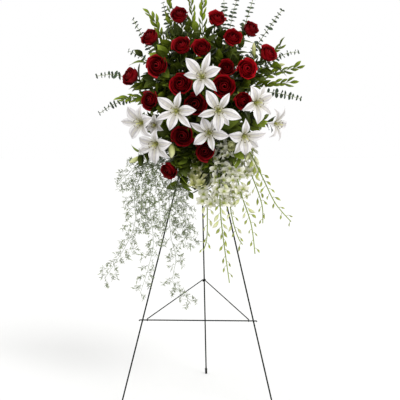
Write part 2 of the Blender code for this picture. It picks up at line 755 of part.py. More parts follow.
def make_brace(build, room, name, side):
    """A thin stay from an open eye round the rear leg to a hook over the crossbar."""
    left, right = crossbar_line()
    bar = left if side < 0 else right
    leg_top, leg_foot = leg_axis(0)
    leg_rise = (leg_top - leg_foot).normalized()
    eye = leg_at(0, BRACE_JOINT_HEIGHT - side * (BRACE_RADIUS + GAP))
    over = BRACE_RADIUS + CROSSBAR_RADIUS + GAP
    hook_middle = Vector((side * BRACE_END_X, bar.y, bar.z))
    away = hook_middle - eye
    away = (away - away.dot(leg_rise) * leg_rise).normalized()
    out = leg_rise.cross(away) * side
    eye_radius = LEG_RADIUS + BRACE_RADIUS + GAP * 1.5
    loop = hook_points(eye, out, -away, eye_radius, BRACE_EYE_TURN)
    hook = hook_points(hook_middle, Vector((0, 0, 1)), Vector((0, -1, 0)), over, BRACE_HOOK_TURN, steps=4)
    path = [*reversed(hook), *loop]
    pieces = []
    tube(pieces, path, BRACE_RADIUS, sides=6)
    room.fill_path(name, path, BRACE_RADIUS)
    build.add_pieces(name, pieces, "painted_wire")


# The foam in its tray


def tray_back():
    """The tray's back face stands against the front legs at its lower edge."""
    return leg_at(1, TRAY_LOW).y - LEG_SECTION_DEPTH - GAP


def box(pieces, corner, other):
    """A box between two opposite corners."""
    corner, other = Vector(corner), Vector(other)
    size = [abs(value) for value in other - corner]
    bm = bmesh.new()
    bmesh.ops.create_cube(bm, size=1.0)
    return add_piece(pieces, bm, Matrix.Translation((corner + other) / 2) @ Matrix.Diagonal((*size, 1.0)))


def make_tray(build):
    """An open-fronted tray; two tabs on its back slip over the easel's pin."""
    back, half = tray_back(), TRAY_WIDTH / 2
    rim, sunk = back - TRAY_DEPTH, back - TRAY_WALL / 3
    pieces = []
    box(pieces, (-half, back - TRAY_WALL, TRAY_LOW), (half, back, TRAY_HIGH))
    for side in (-1, 1):
        box(pieces, (side * (half - TRAY_WALL), rim, TRAY_LOW), (side * half, sunk, TRAY_HIGH))
        tab_outside = side * (TAB_X + TAB_WIDTH)
        box(pieces, (side * TAB_X, back - TRAY_WALL * 2 / 3, TAB_LOW), (tab_outside, TAB_REACH, TAB_HIGH))
    box(pieces, (-half, rim, TRAY_LOW), (half, sunk, TRAY_LOW + TRAY_WALL))
    box(pieces, (-half, rim, TRAY_HIGH - TRAY_WALL), (half, sunk, TRAY_HIGH))
    tray = build.add_pieces("foam_tray", pieces, "tray_plastic", smooth_angle=20)
    holes = []
    reach, hole = TAB_X + 2 * TAB_WIDTH, PIN_RADIUS + PIN_PLAY
    cone(holes, (-reach, 0, PIN_HEIGHT), (reach, 0, PIN_HEIGHT), hole, hole, 10)
    build.cut(tray, holes)


def foam_box():
    inset = TRAY_WALL + GAP
    back = tray_back() - inset
    half = TRAY_WIDTH / 2 - inset
    return Vector((-half, back - FOAM_DEPTH, TRAY_LOW + inset)), Vector((half, back, TRAY_HIGH - inset))


def hub_place(name):
    """Where a bunch leaves the foam, the way it goes, and its radius there."""
    low, high = foam_box()
    place, out, radius = HUBS[name]
    place, out = Vector(place), Vector(out)
    if out.z:
        place.z = high.z
    else:
        place.y = low.y
    return place, out, radius


def make_foam(build, room):
    """The block, with a plain hole for each bunch."""
    low, high = foam_box()
    pieces = []
    box(pieces, low, high)
    foam = build.add_pieces("foam_block", pieces, "wet_foam", smooth_angle=20)
    holes = []
    for name in HUBS:
        place, out, radius = hub_place(name)
        cone(holes, place - out * (HUB_DEPTH + GAP), place + out * 0.004, radius + GAP, radius + GAP, 6)
    build.cut(foam, holes)
    inner_low, inner_high = low + Vector((0.020, 0.020, 0.015)), high - Vector((0.020, 0.020, 0.013))
    across, deep, tall = 9, 2, 5
    for i in range(across):
        for j in range(deep):
            for k in range(tall):
                shares = (i / (across - 1), j / (deep - 1), k / (tall - 1))
                ball = [a + (b - a) * share for a, b, share in zip(inner_low, inner_high, shares)]
                room.fill("foam_block", ball, 0.019)


def stem_start(name, goal):
    """Two points of a stem in its bunch's hole and just out of it, on the side that it will leave by."""
    place, out, radius = hub_place(name)
    aside = Vector(goal) - place
    aside -= aside.dot(out) * out
    place = place + aside * min(radius * HUB_SPREAD, radius * 0.55 / aside.length)
    return place - out * STEM_SINKS, place + out * STEM_CLEARS


def hub_peg(pieces, name):
    """The part of a bunch that stands in its hole, where its stems are pressed together."""
    place, out, radius = hub_place(name)
    cone(pieces, place - out * HUB_DEPTH, place + out * HUB_SHOWS, radius, radius, 6)


# Roses


def rose_frame(rose):
    """The bloom's frame: its origin is the middle of its foot and its Z is where it faces."""
    x, y, z, turn, lift, radius = rose
    normal = facing(turn, lift)
    return frame_on(Vector((x, y, z)) - normal * radius * ROSE_SINKS, normal)


ROSE_HEIGHT = 1.30  # as a share of the bloom's radius
ROSE_SINKS = 0.80  # how far behind the bloom's middle its foot is, as a share of the radius
ROSE_LAYERS = (
    # petals, half angle, twist, thickness, then (distance from the axis, height, share of the half
    # angle) from foot to tip
    (3, 62, 0.12, 0.0022, ((0.14, 0.34, 0), (0.45, 0.84, 1), (0.40, 1.04, 0))),
    (5, 46, 0.10, 0.0026, ((0.14, 0.06, 0), (0.82, 0.34, 0.92), (0.97, 0.70, 1), (0.99, 0.88, 0))),
)


def rose_petal(radius, height, half_angle, twist, rows):
    """Gives the points of one cupped petal, whose right edge lies over the next petal's left edge."""

    def place(row, column):
        reach, rise, spread = rows[row]
        angle = math.radians(half_angle) * column * spread
        reach *= radius * (1 + twist * column)
        return Vector((reach * math.cos(angle), reach * math.sin(angle), rise * height))

    return place


def make_rose(build, room, number, rose, chance):
    """Cupped petals in two layers round a cone that all their feet are sunk in."""
    name = f"rose_{number:02d}"
    radius = rose[5]
    height = radius * ROSE_HEIGHT
    matrix = rose_frame(rose)
    pieces = []
    cone(pieces, (0, 0, 0), (0, 0, height), radius * 0.37, radius * 0.12, 5)
    for count, half_angle, twist, thickness, rows in ROSE_LAYERS:
        start = chance.uniform(0, math.tau)
        for i in range(count):
            place = rose_petal(radius, height, half_angle, twist, rows)
            turn = Matrix.Rotation(start + math.tau * i / count, 4, "Z")
            blade(pieces, len(rows) - 2, place, thickness, turn)
    node = build.add_pieces(name, pieces, "red_petal")
    node.matrix_local = matrix
    room.fill(name, matrix @ Vector((0, 0, height * 0.6)), radius * 0.95)


SEPAL_OUTLINE = ((-0.5, 0.30), (0.0, 1.0))


def rose_calyx(pieces, rose):
    """The green swelling under the bloom or, where they show, its five sepals spread in a star."""
    matrix, radius = rose_frame(rose), rose[5]
    if rose[4] >= SEPALS_SHOW_LIFT:
        seat = matrix @ Matrix.Translation((0, 0, -CALYX_DEPTH / 2 - GAP))
        star(pieces, 5, SEPAL_OUTLINE, radius * 0.66, CALYX_DEPTH, 0.04, seat)
    else:
        foot = matrix @ Vector((0, 0, -CALYX_DEPTH - GAP))
        cone(pieces, foot, matrix @ Vector((0, 0, -GAP)), CALYX_NECK, radius * 0.22, 5)


# Lilies


LILY_PROFILE = ((0.02, 0.00), (0.30, 0.36), (0.66, 0.52), (1.00, 0.40))
PETAL_HALF_WIDTHS = (0.0, 0.180, 0.235, 0.0)
SEPAL_HALF_WIDTHS = (0.0, 0.120, 0.160, 0.0)
TIP_CURL = 0.5


def lily_frame(lily):
    """The bloom's frame: its origin is the foot of the throat and its Z is where it faces."""
    x, y, z, turn, lift, length = lily[:6]
    normal = facing(turn, lift)
    return frame_on(Vector((x, y, z)) - normal * length * 0.45, normal)


def tepal(length, half_widths, drop, share):
    """Gives the points of one tepal, which climbs out of the throat and bends back at its tip."""

    def place(row, column):
        reach, rise = LILY_PROFILE[row]
        side = half_widths[row] * column * length
        curl = (0.05, 0.04, -0.03, 0.0)[row] * abs(column) - TIP_CURL * (1 - share) * (row == 3)
        return Vector((reach * share * length, side, (rise + curl - drop * (row > 0)) * length))

    return place


def make_lily(build, room, number, lily):
    """Three broad tepals and three narrower ones lower down round a throat, stamens and a pistil."""
    name = f"lily_{number}"
    length = lily[5]
    matrix = lily_frame(lily)
    pieces = []
    cone(pieces, (0, 0, 0), (0, 0, length * 0.20), length * 0.045, length * 0.095, 6)
    for i, (angle, share) in enumerate(zip(lily[6], lily[7])):
        inner = i % 2 == 0
        half_widths, drop = (PETAL_HALF_WIDTHS, 0) if inner else (SEPAL_HALF_WIDTHS, 0.05)
        place = tepal(length, half_widths, drop, share)
        turn = Matrix.Rotation(math.radians(angle), 4, "Z")
        blade(pieces, 2, place, TEPAL_THICKNESS, turn)
        for reach, rise in ((0.30, 0.36), (0.50, 0.45), (0.70, 0.50), (0.90, 0.42)):
            spot = matrix @ turn @ Vector((reach * share * length, 0, rise * length))
            room.fill(name, spot, length * 0.14)
    for i in range(3):
        angle = math.tau * (i + 0.5) / 3
        tip = Vector((math.cos(angle) * 0.17, math.sin(angle) * 0.17, 0.56)) * length
        cone(pieces, (0, 0, length * 0.14), tip, 0.0013, 0.0, 3)
    cone(pieces, (0, 0, length * 0.14), (0, 0, length * 0.66), 0.0017, 0.0, 3)
    node = build.add_pieces(name, pieces, "white_petal", solver="MANIFOLD")
    node.matrix_local = matrix
    room.fill(name, matrix @ Vector((0, 0, length * 0.2)), length * 0.16)


# Leaves


LEAF_BALLS = ((0.12, 0.22), (0.30, 0.44), (0.60, 0.44), (0.90, 0.30))
LEAF_OUTLINES = {1: ((0, 0), (0.48, 1.0), (1, 0)), 2: ((0, 0), (0.32, 0.92), (0.68, 0.88), (1, 0))}


def leaf(pieces, room, node, foot, heading, normal, length, width, rows=2, own_gap=None):
    """A pointed, arched leaf with a rib, left out where it would cross another node."""
    heading = Vector(heading).normalized()
    matrix = frame_on(foot, heading, normal)
    balls = [(matrix @ Vector((0, 0, share * length)), width * reach) for share, reach in LEAF_BALLS]
    if not room.is_free(node, balls, own_gap):
        return False

    def place(row, column):
        share, half_width = LEAF_OUTLINES[rows][row]
        arch = 0.10 * length * math.sin(math.pi * share)
        return Vector((column * half_width * width / 2, arch, share * length))

    blade(pieces, rows, place, LEAF_THICKNESS, matrix, sides=3)
    for point, radius in balls:
        room.fill(node, point, radius)
        room.fill(node + "+", point, radius)
    return True


def stem_path(name, foot, normal, reach=0.40, segments=3):
    """From a bunch's hole to a bloom's foot, arriving straight behind the bloom."""
    inside, outside = stem_start(name, foot)
    out = (outside - inside).normalized()
    neck = foot - normal * 0.008
    span = (neck - outside).length
    handles = outside + out * span * 0.15, neck - normal * span * reach
    return [inside, *interpolate_bezier(outside, *handles, neck, segments + 1), foot]


def make_stem_bunch(build, room, name, paths, chance):
    """Rose and lily stems that leave the foam together, with calyxes, buds and broad leaves."""
    pieces = []
    hub_peg(pieces, name)
    for number in ROSE_BUNCHES[name]:
        rose = ROSES[number - 1]
        rose_calyx(pieces, rose)
        tube(pieces, paths[f"rose_{number:02d}"], HUB_STEM_RADIUS, ROSE_STEM_RADIUS)
    for number in LILY_BUNCHES[name]:
        tube(pieces, paths[f"lily_{number}"], HUB_STEM_RADIUS, LILY_STEM_RADIUS)
    for bunch, foot, tip, radius in LILY_BUDS:
        if bunch != name:
            continue
        bud(pieces, foot, tip, radius, 6, 4)
        room.fill(name, Vector(foot).lerp(Vector(tip), 0.55), radius)
        lift = (Vector(tip) - Vector(foot)).normalized()
        path = stem_path(name, Vector(foot) + lift * STEM_SINKS, lift, 0.3)
        tube(pieces, path, HUB_STEM_RADIUS, THIN_STEM_RADIUS)
    for key, path in sorted(paths.items()):
        shares = BROAD_LEAF_SHARES if key.startswith("rose") else BROAD_LEAF_SHARES[1:]
        grow_broad_leaves(pieces, room, name, path, shares, chance)
    build.add_pieces(name, pieces, "dark_leaf")


def grow_broad_leaves(pieces, room, name, path, shares, chance):
    """Leaves on a stem, each turned about the stem until it is clear of every other node."""
    for share in shares:
        start = chance.uniform(0, math.tau)
        for attempt in range(14):
            foot, heading = along(path, share + chance.uniform(-0.08, 0.08))
            sideways = frame_on(foot, heading).to_3x3()
            angle = start + attempt * 2.4
            out = sideways @ Vector((math.cos(angle), math.sin(angle), 0))
            toward = (out + heading * chance.uniform(0.3, 0.9)).normalized()
            length = chance.uniform(*BROAD_LEAF_LENGTHS)
            width = length * BROAD_LEAF_SHAPE
            if leaf(pieces, room, name, foot, toward, heading - out, length, width, own_gap=0.022):
                break


# Eucalyptus and ruscus


def side_stem(bunch, mid, tip, depth):
    """A stem from the foam's top, through where its leaves start, to just short of its last leaf's tip."""
    middle = Vector((mid[0], depth * 1.06, mid[1]))
    end = Vector((tip[0], depth, tip[1]))
    if bunch.startswith("ruscus"):
        end -= (end - middle).normalized() * RUSCUS_LEAF_LENGTHS[0]
    inside, outside = stem_start(bunch, middle)
    over = outside + Vector(((mid[0] - outside.x) * 0.22, (depth - outside.y) * 0.5, 0.040))
    return [inside, *smooth_path([outside, over, middle, end], 0.070)]


def leaf_pair(pieces, spot, out, normal, reach):
    """Two opposite leaves as one blade that the stem runs through."""
    matrix = frame_on(spot, out, normal)

    def place(row, column):
        half_width = 0.42 * reach if row == 1 else 0
        return Vector((column * half_width, 0, (row - 1) * reach))

    blade(pieces, 1, place, LEAF_THICKNESS, matrix, sides=3)


def make_eucalyptus(build, room, name, chance):
    """Thin stems with roundish leaves in pairs, each pair across the last, smaller towards the tip."""
    pieces = []
    hub_peg(pieces, name)
    for bunch, mid, tip, depth in EUCALYPTUS:
        if bunch != name:
            continue
        path = side_stem(bunch, mid, tip, depth)
        tube(pieces, path, THIN_STEM_RADIUS * 1.2, THIN_STEM_RADIUS * 0.7, sides=3)
        length = path_length(path)
        for i in range(EUCALYPTUS_PAIRS):
            spot, heading = along(path, 1 - (0.004 + EUCALYPTUS_SPACING * i) / length)
            reach = EUCALYPTUS_REACH + EUCALYPTUS_GROWTH * i
            if not room.is_free(name, [(spot, reach)]):
                continue
            across = frame_on(spot, heading, Vector((0, -1, 0))).to_3x3()
            angle = (0.35 if i % 2 else -0.35) + chance.uniform(-0.3, 0.3)
            out = across @ Vector((math.cos(angle), math.sin(angle), 0))
            lean = heading + out * chance.uniform(-0.3, 0.3)
            leaf_pair(pieces, spot, out, lean, reach)
            room.fill(name, spot, reach)
    build.add_pieces(name, pieces, "grey_leaf")


def make_ruscus(build, room, name, chance):
    """Stems with pointed leaves, left and right in turn."""
    pieces = []
    hub_peg(pieces, name)
    for bunch, mid, tip, depth in RUSCUS:
        if bunch != name:
            continue
        path = side_stem(bunch, mid, tip, depth)
        tube(pieces, path, THIN_STEM_RADIUS * 1.2, THIN_STEM_RADIUS * 0.7, sides=3)
        length = path_length(path)
        for i in range(RUSCUS_LEAVES):
            spot, heading = along(path, 1 - (0.002 + RUSCUS_SPACING * i) / length)
            across = heading.cross(Vector((0, 1, 0))).normalized() * (1 if i % 2 else -1)
            toward = heading + across * (0.0 if i == 0 else chance.uniform(0.45, 0.75))
            toward += Vector((0, chance.uniform(-0.25, 0.25), 0))
            size = chance.uniform(*RUSCUS_LEAF_LENGTHS)
            normal = Vector((0, -1, 0)) + across * 0.3
            leaf(pieces, room, name, spot, toward, normal, size, size * RUSCUS_LEAF_SHAPE, rows=1)
    build.add_pieces(name, pieces, "bright_leaf")


# Orchid sprays


FLORET_OUTLINE = ((-0.5, 0.46), (0.0, 1.0))


def hanging_path(name, way, depth, step):
    """Out of the foam and down: at one depth near the foam, at another further down."""
    inside, outside = stem_start(name, Vector((way[0][0], -1, way[0][1])))
    points = [outside]
    for x, z in way:
        near = min(1.0, max(0.0, (z - 0.88) / 0.16))
        points.append(Vector((x, depth[1] + (depth[0] - depth[1]) * near, z)))
    return [inside, *smooth_path(points, step)]


def drooping_bud(pieces, spot, neck, tip, radius):
    """A closed teardrop bud and its short stalk, as one spindle with a bend at the neck."""
    rows = ((spot, 0), (neck, radius / 5), (neck.lerp(tip, 0.45), radius), (tip, 0))
    across = (tip - spot).cross(Vector((0, 1, 0))).normalized()
    ahead = (tip - spot).cross(across).normalized()
    bm = bmesh.new()
    bmesh.ops.create_uvsphere(bm, u_segments=3, v_segments=3, radius=1.0)
    for vertex in bm.verts:
        angle = math.atan2(vertex.co.y, vertex.co.x)
        middle, reach = rows[sphere_row(vertex, 3)]
        vertex.co = middle + (across * math.cos(angle) + ahead * math.sin(angle)) * reach
    add_piece(pieces, bm)


def make_orchid(build, room, name, way, depth, florets, chance):
    """An arching stem with open florets above and teardrop buds below, on short stalks."""
    pieces = []
    hub_peg(pieces, name)
    path = hanging_path(name, way, depth, 0.050)
    tube(pieces, path, ORCHID_STEM_RADIUS, ORCHID_STEM_RADIUS * 0.7, sides=3)
    length = path_length(path)
    number = 0
    drop = ORCHID_FIRST_DROP
    while drop < length:
        spot, heading = along(path, drop / length)
        across = heading.cross(Vector((0, 1, 0))).normalized() * (1 if number % 2 else -1)
        is_open = number < florets
        for attempt in range(8):
            toward = across + heading * chance.uniform(0.2, 0.9)
            toward += Vector((0, chance.uniform(-0.6, 0.2), 0))
            toward.normalize()
            if is_open:
                end = spot + toward * chance.uniform(*FLORET_STALKS)
                radius = chance.uniform(*FLORET_RADII)
                if room.is_free(name, [(end, radius * 0.9)]):
                    normal = facing(chance.uniform(-35, 35), chance.uniform(-35, 15))
                    seat = frame_along(end, spot - end, normal)
                    first = (spot - end).length + 2 * ORCHID_STEM_RADIUS
                    star(pieces, 5, FLORET_OUTLINE, radius, FLORET_THICKNESS, 0.0, seat, first_reach=first)
                    room.fill(name, end, radius * 0.9)
                    break
            else:
                neck = spot + toward * chance.uniform(*BUD_STALKS)
                tip = neck + (toward + Vector((0, 0, -0.8))).normalized() * chance.uniform(*BUD_LENGTHS)
                if room.is_free(name, [(neck, BUD_RADIUS), (tip, BUD_RADIUS)]):
                    drooping_bud(pieces, spot, neck, tip, BUD_RADIUS)
                    room.fill(name, neck.lerp(tip, 0.6), 0.006)
                    break
        number += 1
        drop += FLORET_SPACING if is_open else BUD_SPACING
    build.add_pieces(name, pieces, "orchid")


# Trailing fern


def make_fern(build, room, name, chance):
    """Thin strands with narrow leaflets, left and right in turn."""
    pieces = []
    hub_peg(pieces, name)
    for bunch, way, depth in FERNS:
        if bunch != name:
            continue
        path = hanging_path(name, way, depth, 0.060)
        tube(pieces, path, FERN_STEM_RADIUS * 1.4, FERN_STEM_RADIUS * 0.8, sides=3)
        length = path_length(path)
        drop = FERN_FIRST_DROP
        side = 1
        while drop < length:
            spot, heading = along(path, drop / length)
            across = heading.cross(Vector((0, 1, 0))).normalized() * side
            side = -side
            toward = across * chance.uniform(0.6, 1.1) + heading * 0.8
            toward += Vector((0, chance.uniform(-0.4, 0.4), 0))
            normal = facing(chance.uniform(-40, 40), chance.uniform(-30, 30))
            size = chance.uniform(*FERN_LEAFLET_LENGTHS)
            leaf(pieces, room, name, spot, toward, normal, size, FERN_LEAFLET_WIDTH, rows=1)
            drop += chance.uniform(*FERN_SPACING)
    build.add_pieces(name, pieces, "fern")


def plan_stems(room):
    """Every bloom's stem, laid before anything else so that leaves can keep clear of it."""
    paths = {name: {} for name in ROSE_BUNCHES}
    for bunch, numbers in ROSE_BUNCHES.items():
        for number in numbers:
            matrix = rose_frame(ROSES[number - 1])
            normal = matrix.to_3x3().col[2]
            foot = matrix @ Vector((0, 0, -0.009))
            paths[bunch][f"rose_{number:02d}"] = stem_path(bunch, foot, normal)
    for bunch, numbers in LILY_BUNCHES.items():
        for number in numbers:
            matrix = lily_frame(LILIES[number - 1])
            normal = matrix.to_3x3().col[2]
            paths[bunch][f"lily_{number}"] = stem_path(bunch, matrix @ Vector((0, 0, -GAP)), normal)
    for bunch, stems in paths.items():
        for path in stems.values():
            room.fill_path(bunch, path, LILY_STEM_RADIUS)
    for bunch, mid, tip, depth in EUCALYPTUS + RUSCUS:
        room.fill_path(bunch, side_stem(bunch, mid, tip, depth), THIN_STEM_RADIUS)
    for name, way, depth, _ in ORCHIDS:
        room.fill_path(name, hanging_path(name, way, depth, 0.050), ORCHID_STEM_RADIUS)
    for name, way, depth in FERNS:
        room.fill_path(name, hanging_path(name, way, depth, 0.060), FERN_STEM_RADIUS)
    return paths


def main():
    clear_scene()
    chance = random.Random(SEED)
    build, room = Builder(), Room()
    for name, side in (("leg_front_left", -1), ("leg_front_right", 1), ("leg_rear", 0)):
        make_leg(build, room, name, side)
        make_tip(build, name.replace("leg", "tip"), side)
    make_pin(build, room)
    make_crossbar(build, room)
    make_brace(build, room, "brace_left", -1)
    make_brace(build, room, "brace_right", 1)
    make_tray(build)
    make_foam(build, room)
    paths = plan_stems(room)
    for number, rose in enumerate(ROSES, 1):
        make_rose(build, room, number, rose, chance)
    for number, lily in enumerate(LILIES, 1):
        make_lily(build, room, number, lily)
    for name, way, depth, florets in ORCHIDS:
        make_orchid(build, room, name, way, depth, florets, chance)
    for name in ("fern_left", "fern_middle", "fern_right"):
        make_fern(build, room, name, chance)
    for name in ("eucalyptus_left", "eucalyptus_right"):
        make_eucalyptus(build, room, name, chance)
    for name in ("ruscus_left", "ruscus_right"):
        make_ruscus(build, room, name, chance)
    for name in ROSE_BUNCHES:
        make_stem_bunch(build, room, name, paths[name], chance)


main()
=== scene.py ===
# %% [markdown]
# # A standing funeral spray
# Red roses, white lilies and hanging white orchids are pushed into a block of wet foam, with eucalyptus,
# ruscus and trailing fern round them. The foam sits in a tray that hangs on a three-legged wire easel.
# The solid model of it all is loaded first and isn't moved. Each bloom, bunch and frond is then made
# again in its own place, finer, and stands for its plain solid.

import math
import random
from functools import partial

import bpy
import numpy as np
from mathutils import Matrix, Quaternion, Vector
from mathutils.geometry import interpolate_bezier


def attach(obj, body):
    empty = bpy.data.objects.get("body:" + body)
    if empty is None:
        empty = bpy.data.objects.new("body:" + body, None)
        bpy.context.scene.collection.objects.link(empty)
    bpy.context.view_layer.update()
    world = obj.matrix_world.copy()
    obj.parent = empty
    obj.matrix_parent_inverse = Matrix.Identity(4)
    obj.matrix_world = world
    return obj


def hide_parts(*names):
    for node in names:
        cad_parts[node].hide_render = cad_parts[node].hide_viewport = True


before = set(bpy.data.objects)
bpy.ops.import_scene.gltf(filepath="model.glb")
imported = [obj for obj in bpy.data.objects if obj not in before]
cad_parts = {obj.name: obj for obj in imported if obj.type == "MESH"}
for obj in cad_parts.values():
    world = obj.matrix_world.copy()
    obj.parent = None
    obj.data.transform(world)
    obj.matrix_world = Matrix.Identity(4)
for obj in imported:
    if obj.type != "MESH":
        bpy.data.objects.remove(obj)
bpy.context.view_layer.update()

# %% [markdown]
# ## Camera, floor and light
# The picture was taken with a long lens from 4 m away, a little to the right, about as high as the lower
# lilies. A spray like this is photographed on white paper under wide soft lamps, so the floor and the
# air are white, and one broad lamp from the upper right gives the blooms their shaded side. A backdrop
# that curves up behind would do as well, but a wide floor under a white world shows no edge at all.

# %% Camera
CAMERA_PLACE = Vector((0.2764, -4.1808, 1.10))
CAMERA_TARGET = Vector((-0.0032, 0.010, 0.7998))
CAMERA_ROLL = math.radians(-0.22)  # it wasn't held quite level
LENS_MM, FILM_MM, FILM_SHIFT = 92.41, 36, -0.0012

camera = bpy.data.objects.new("camera", bpy.data.cameras.new("camera"))
bpy.context.scene.collection.objects.link(camera)
camera.location = CAMERA_PLACE
aim = (CAMERA_TARGET - CAMERA_PLACE).to_track_quat("-Z", "Y")
camera.rotation_euler = (aim @ Quaternion((0, 0, 1), CAMERA_ROLL)).to_euler()
camera.data.lens, camera.data.sensor_width, camera.data.shift_x = LENS_MM, FILM_MM, FILM_SHIFT
bpy.context.scene.camera = camera
bpy.context.scene.view_settings.view_transform = "Standard"
print("camera", round((CAMERA_TARGET - CAMERA_PLACE).length, 2), "m away")

# %% White floor and lamps
FLOOR_REACH = 30
LAMP_STRENGTH, LAMP_WIDTH = 1.45, math.radians(25)
LAMP_SIDE = Vector((0.75, -1.0, 1.05))


def linear(code):
    """A colour written as #rrggbb, as light."""
    values = [int(code[i : i + 2], 16) / 255 for i in (1, 3, 5)]
    return (*(v / 12.92 if v <= 0.04045 else ((v + 0.055) / 1.055) ** 2.4 for v in values), 1.0)


air = bpy.data.worlds.new("white_air")
bpy.context.scene.world = air
air.use_nodes = True
air.node_tree.nodes["Background"].inputs["Color"].default_value = (1.0, 1.0, 1.0, 1.0)
air.node_tree.nodes["Background"].inputs["Strength"].default_value = 1.0

lamp = bpy.data.objects.new("broad_lamp", bpy.data.lights.new("broad_lamp", "SUN"))
lamp.data.energy, lamp.data.angle = LAMP_STRENGTH, LAMP_WIDTH
lamp.rotation_euler = LAMP_SIDE.to_track_quat("Z", "Y").to_euler()
bpy.context.scene.collection.objects.link(lamp)

floor_mesh = bpy.data.meshes.new("floor")
corners = [(x * FLOOR_REACH, y * FLOOR_REACH, 0) for x, y in ((-1, -1), (1, -1), (1, 1), (-1, 1))]
floor_mesh.from_pydata(corners, [], [(0, 1, 2, 3)])
floor = bpy.data.objects.new("floor", floor_mesh)
bpy.context.scene.collection.objects.link(floor)
# matt white paper: it has no sheen, so it goes into the white air without a line
paper = bpy.data.materials.new("white_paper")
paper.use_nodes = True
paper.node_tree.nodes["Principled BSDF"].inputs["Base Color"].default_value = linear("#e8e8e7")
paper.node_tree.nodes["Principled BSDF"].inputs["Roughness"].default_value = 0.9
floor_mesh.materials.append(paper)
print("floor", 2 * FLOOR_REACH, "m wide, under", len(bpy.data.lights), "lamp")

# %% [markdown]
# ## Where everything stands
# These are the solid model's own layout and sizes, in metres. The florist fans the stems out from the
# foam, so each bloom is given by its middle, the way it faces and its size. Everything stands 2 mm to
# the left and 10 mm behind these numbers, where the part's footprint has its middle. A bloom's middle
# could be measured on its solid, but not the way it faces, so the layout is written out here.

# %% Roses and lilies
SHIFT = Vector((-0.002, 0.010, 0.0))
ROSES = (
    # middle of the bloom (x, y, z), turn from straight ahead towards +X, lift, radius
    (-0.072, -0.145, 1.536, -8, 44, 0.037),
    (0.075, -0.145, 1.520, 15, 38, 0.036),
    (-0.189, -0.147, 1.450, -40, 36, 0.038),
    (0.209, -0.150, 1.478, 50, 30, 0.034),
    (0.138, -0.180, 1.443, 10, 28, 0.037),
    (-0.060, -0.190, 1.414, -10, 26, 0.038),
    (0.018, -0.190, 1.403, 0, 28, 0.037),
    (0.276, -0.160, 1.382, 42, 28, 0.037),
    (-0.151, -0.220, 1.335, -15, 5, 0.041),
    (-0.265, -0.170, 1.297, -50, 22, 0.037),
    (-0.060, -0.248, 1.263, -5, 10, 0.042),
    (0.115, -0.200, 1.325, 5, 15, 0.032),
    (0.193, -0.230, 1.320, 20, 5, 0.039),
    (0.107, -0.260, 1.252, 10, 5, 0.043),
    (-0.182, -0.220, 1.203, -25, 0, 0.035),
    (-0.005, -0.245, 1.185, 0, 0, 0.044),
    (0.180, -0.243, 1.198, 20, -5, 0.034),
    (-0.053, -0.240, 1.065, -5, -5, 0.041),
    (0.032, -0.230, 1.006, 0, -5, 0.037),
    (-0.110, -0.200, 0.931, -30, -30, 0.035),
)
ROSE_BUNCHES = {
    "left": (1, 3, 6, 9, 10, 11, 15),
    "right": (2, 4, 5, 7, 8, 12, 13, 14, 17),
    "low": (16, 18, 19, 20),
}
LILIES = (
    # middle of the face (x, y, z), turn, lift, length of a tepal, angles of its six tepals and the share
    # of its length that each one reaches, because some curl back further
    (0.025, -0.310, 1.290, 0, 5, 0.092, (24, 71, 131, 175, 253, 316), (0.86, 1.06, 1.01, 0.76, 0.82, 0.88)),
    (-0.075, -0.300, 1.160, -5, 0, 0.088, (3, 81, 142, 203, 253, 310), (0.9, 0.84, 1, 0.96, 0.9, 1)),
    (0.090, -0.325, 1.160, 5, 0, 0.092, (343, 56, 123, 196, 268, 306), (1, 0.86, 0.98, 0.88, 0.9, 0.76)),
    (0.050, -0.278, 1.075, 0, -5, 0.084, (353, 62, 110, 153, 214, 286), (0.95, 0.8, 0.78, 1, 0.88, 0.86)),
    (0.240, -0.270, 1.190, 30, 0, 0.082, (25, 68, 115, 205, 268, 322), (0.88, 0.92, 0.84, 0.88, 1, 0.92)),
    (0.189, -0.270, 1.057, 15, -20, 0.084, (10, 91, 172, 243, 279, 325), (1, 0.86, 0.76, 0.94, 0.88, 0.88)),
    (0.316, -0.200, 1.108, 58, -12, 0.078, (0, 60, 120, 180, 240, 300), (0.9, 1, 0.9, 0.85, 0.8, 1)),
    (-0.224, -0.24, 1.114, -35, -5, 0.086, (15, 80, 128, 176, 232, 305), (0.75, 0.84, 1, 1.12, 0.92, 0.8)),
    (-0.165, -0.25, 1.03, -25, -15, 0.084, (5, 76, 160, 200, 264, 318), (0.88, 0.72, 0.88, 1.02, 0.96, 0.94)),
    (-0.167, -0.220, 1.106, -18, 0, 0.048, (30, 90, 150, 210, 270, 330), (0.9, 0.95, 0.9, 0.9, 0.9, 0.9)),
)
LILY_BUNCHES = {"left": (2, 8, 9, 10), "right": (1, 3, 5, 6, 7), "low": (4,)}
LILY_BUDS = {
    # foot, tip, radius; the widest one is a cream bloom
    "left": (
        ((-0.100, -0.213, 1.040), (-0.097, -0.238, 0.980), 0.013),
        ((-0.218, -0.200, 0.986), (-0.264, -0.215, 0.962), 0.009),
    ),
    "right": (
        ((0.222, -0.150, 1.370), (0.220, -0.155, 1.425), 0.008),
        ((0.300, -0.150, 1.335), (0.340, -0.160, 1.340), 0.006),
        ((0.130, -0.210, 1.045), (0.138, -0.262, 1.024), 0.022),
    ),
    "low": (),
}
print(len(ROSES), "roses,", len(LILIES), "lilies,", sum(map(len, LILY_BUDS.values())), "buds")

# %% Where the bunches leave the foam
FOAM_FRONT, FOAM_TOP, LOW_ROW = -0.146, 1.1867, 1.080
AHEAD, UP = Vector((0, -1, 0)), Vector((0, 0, 1))

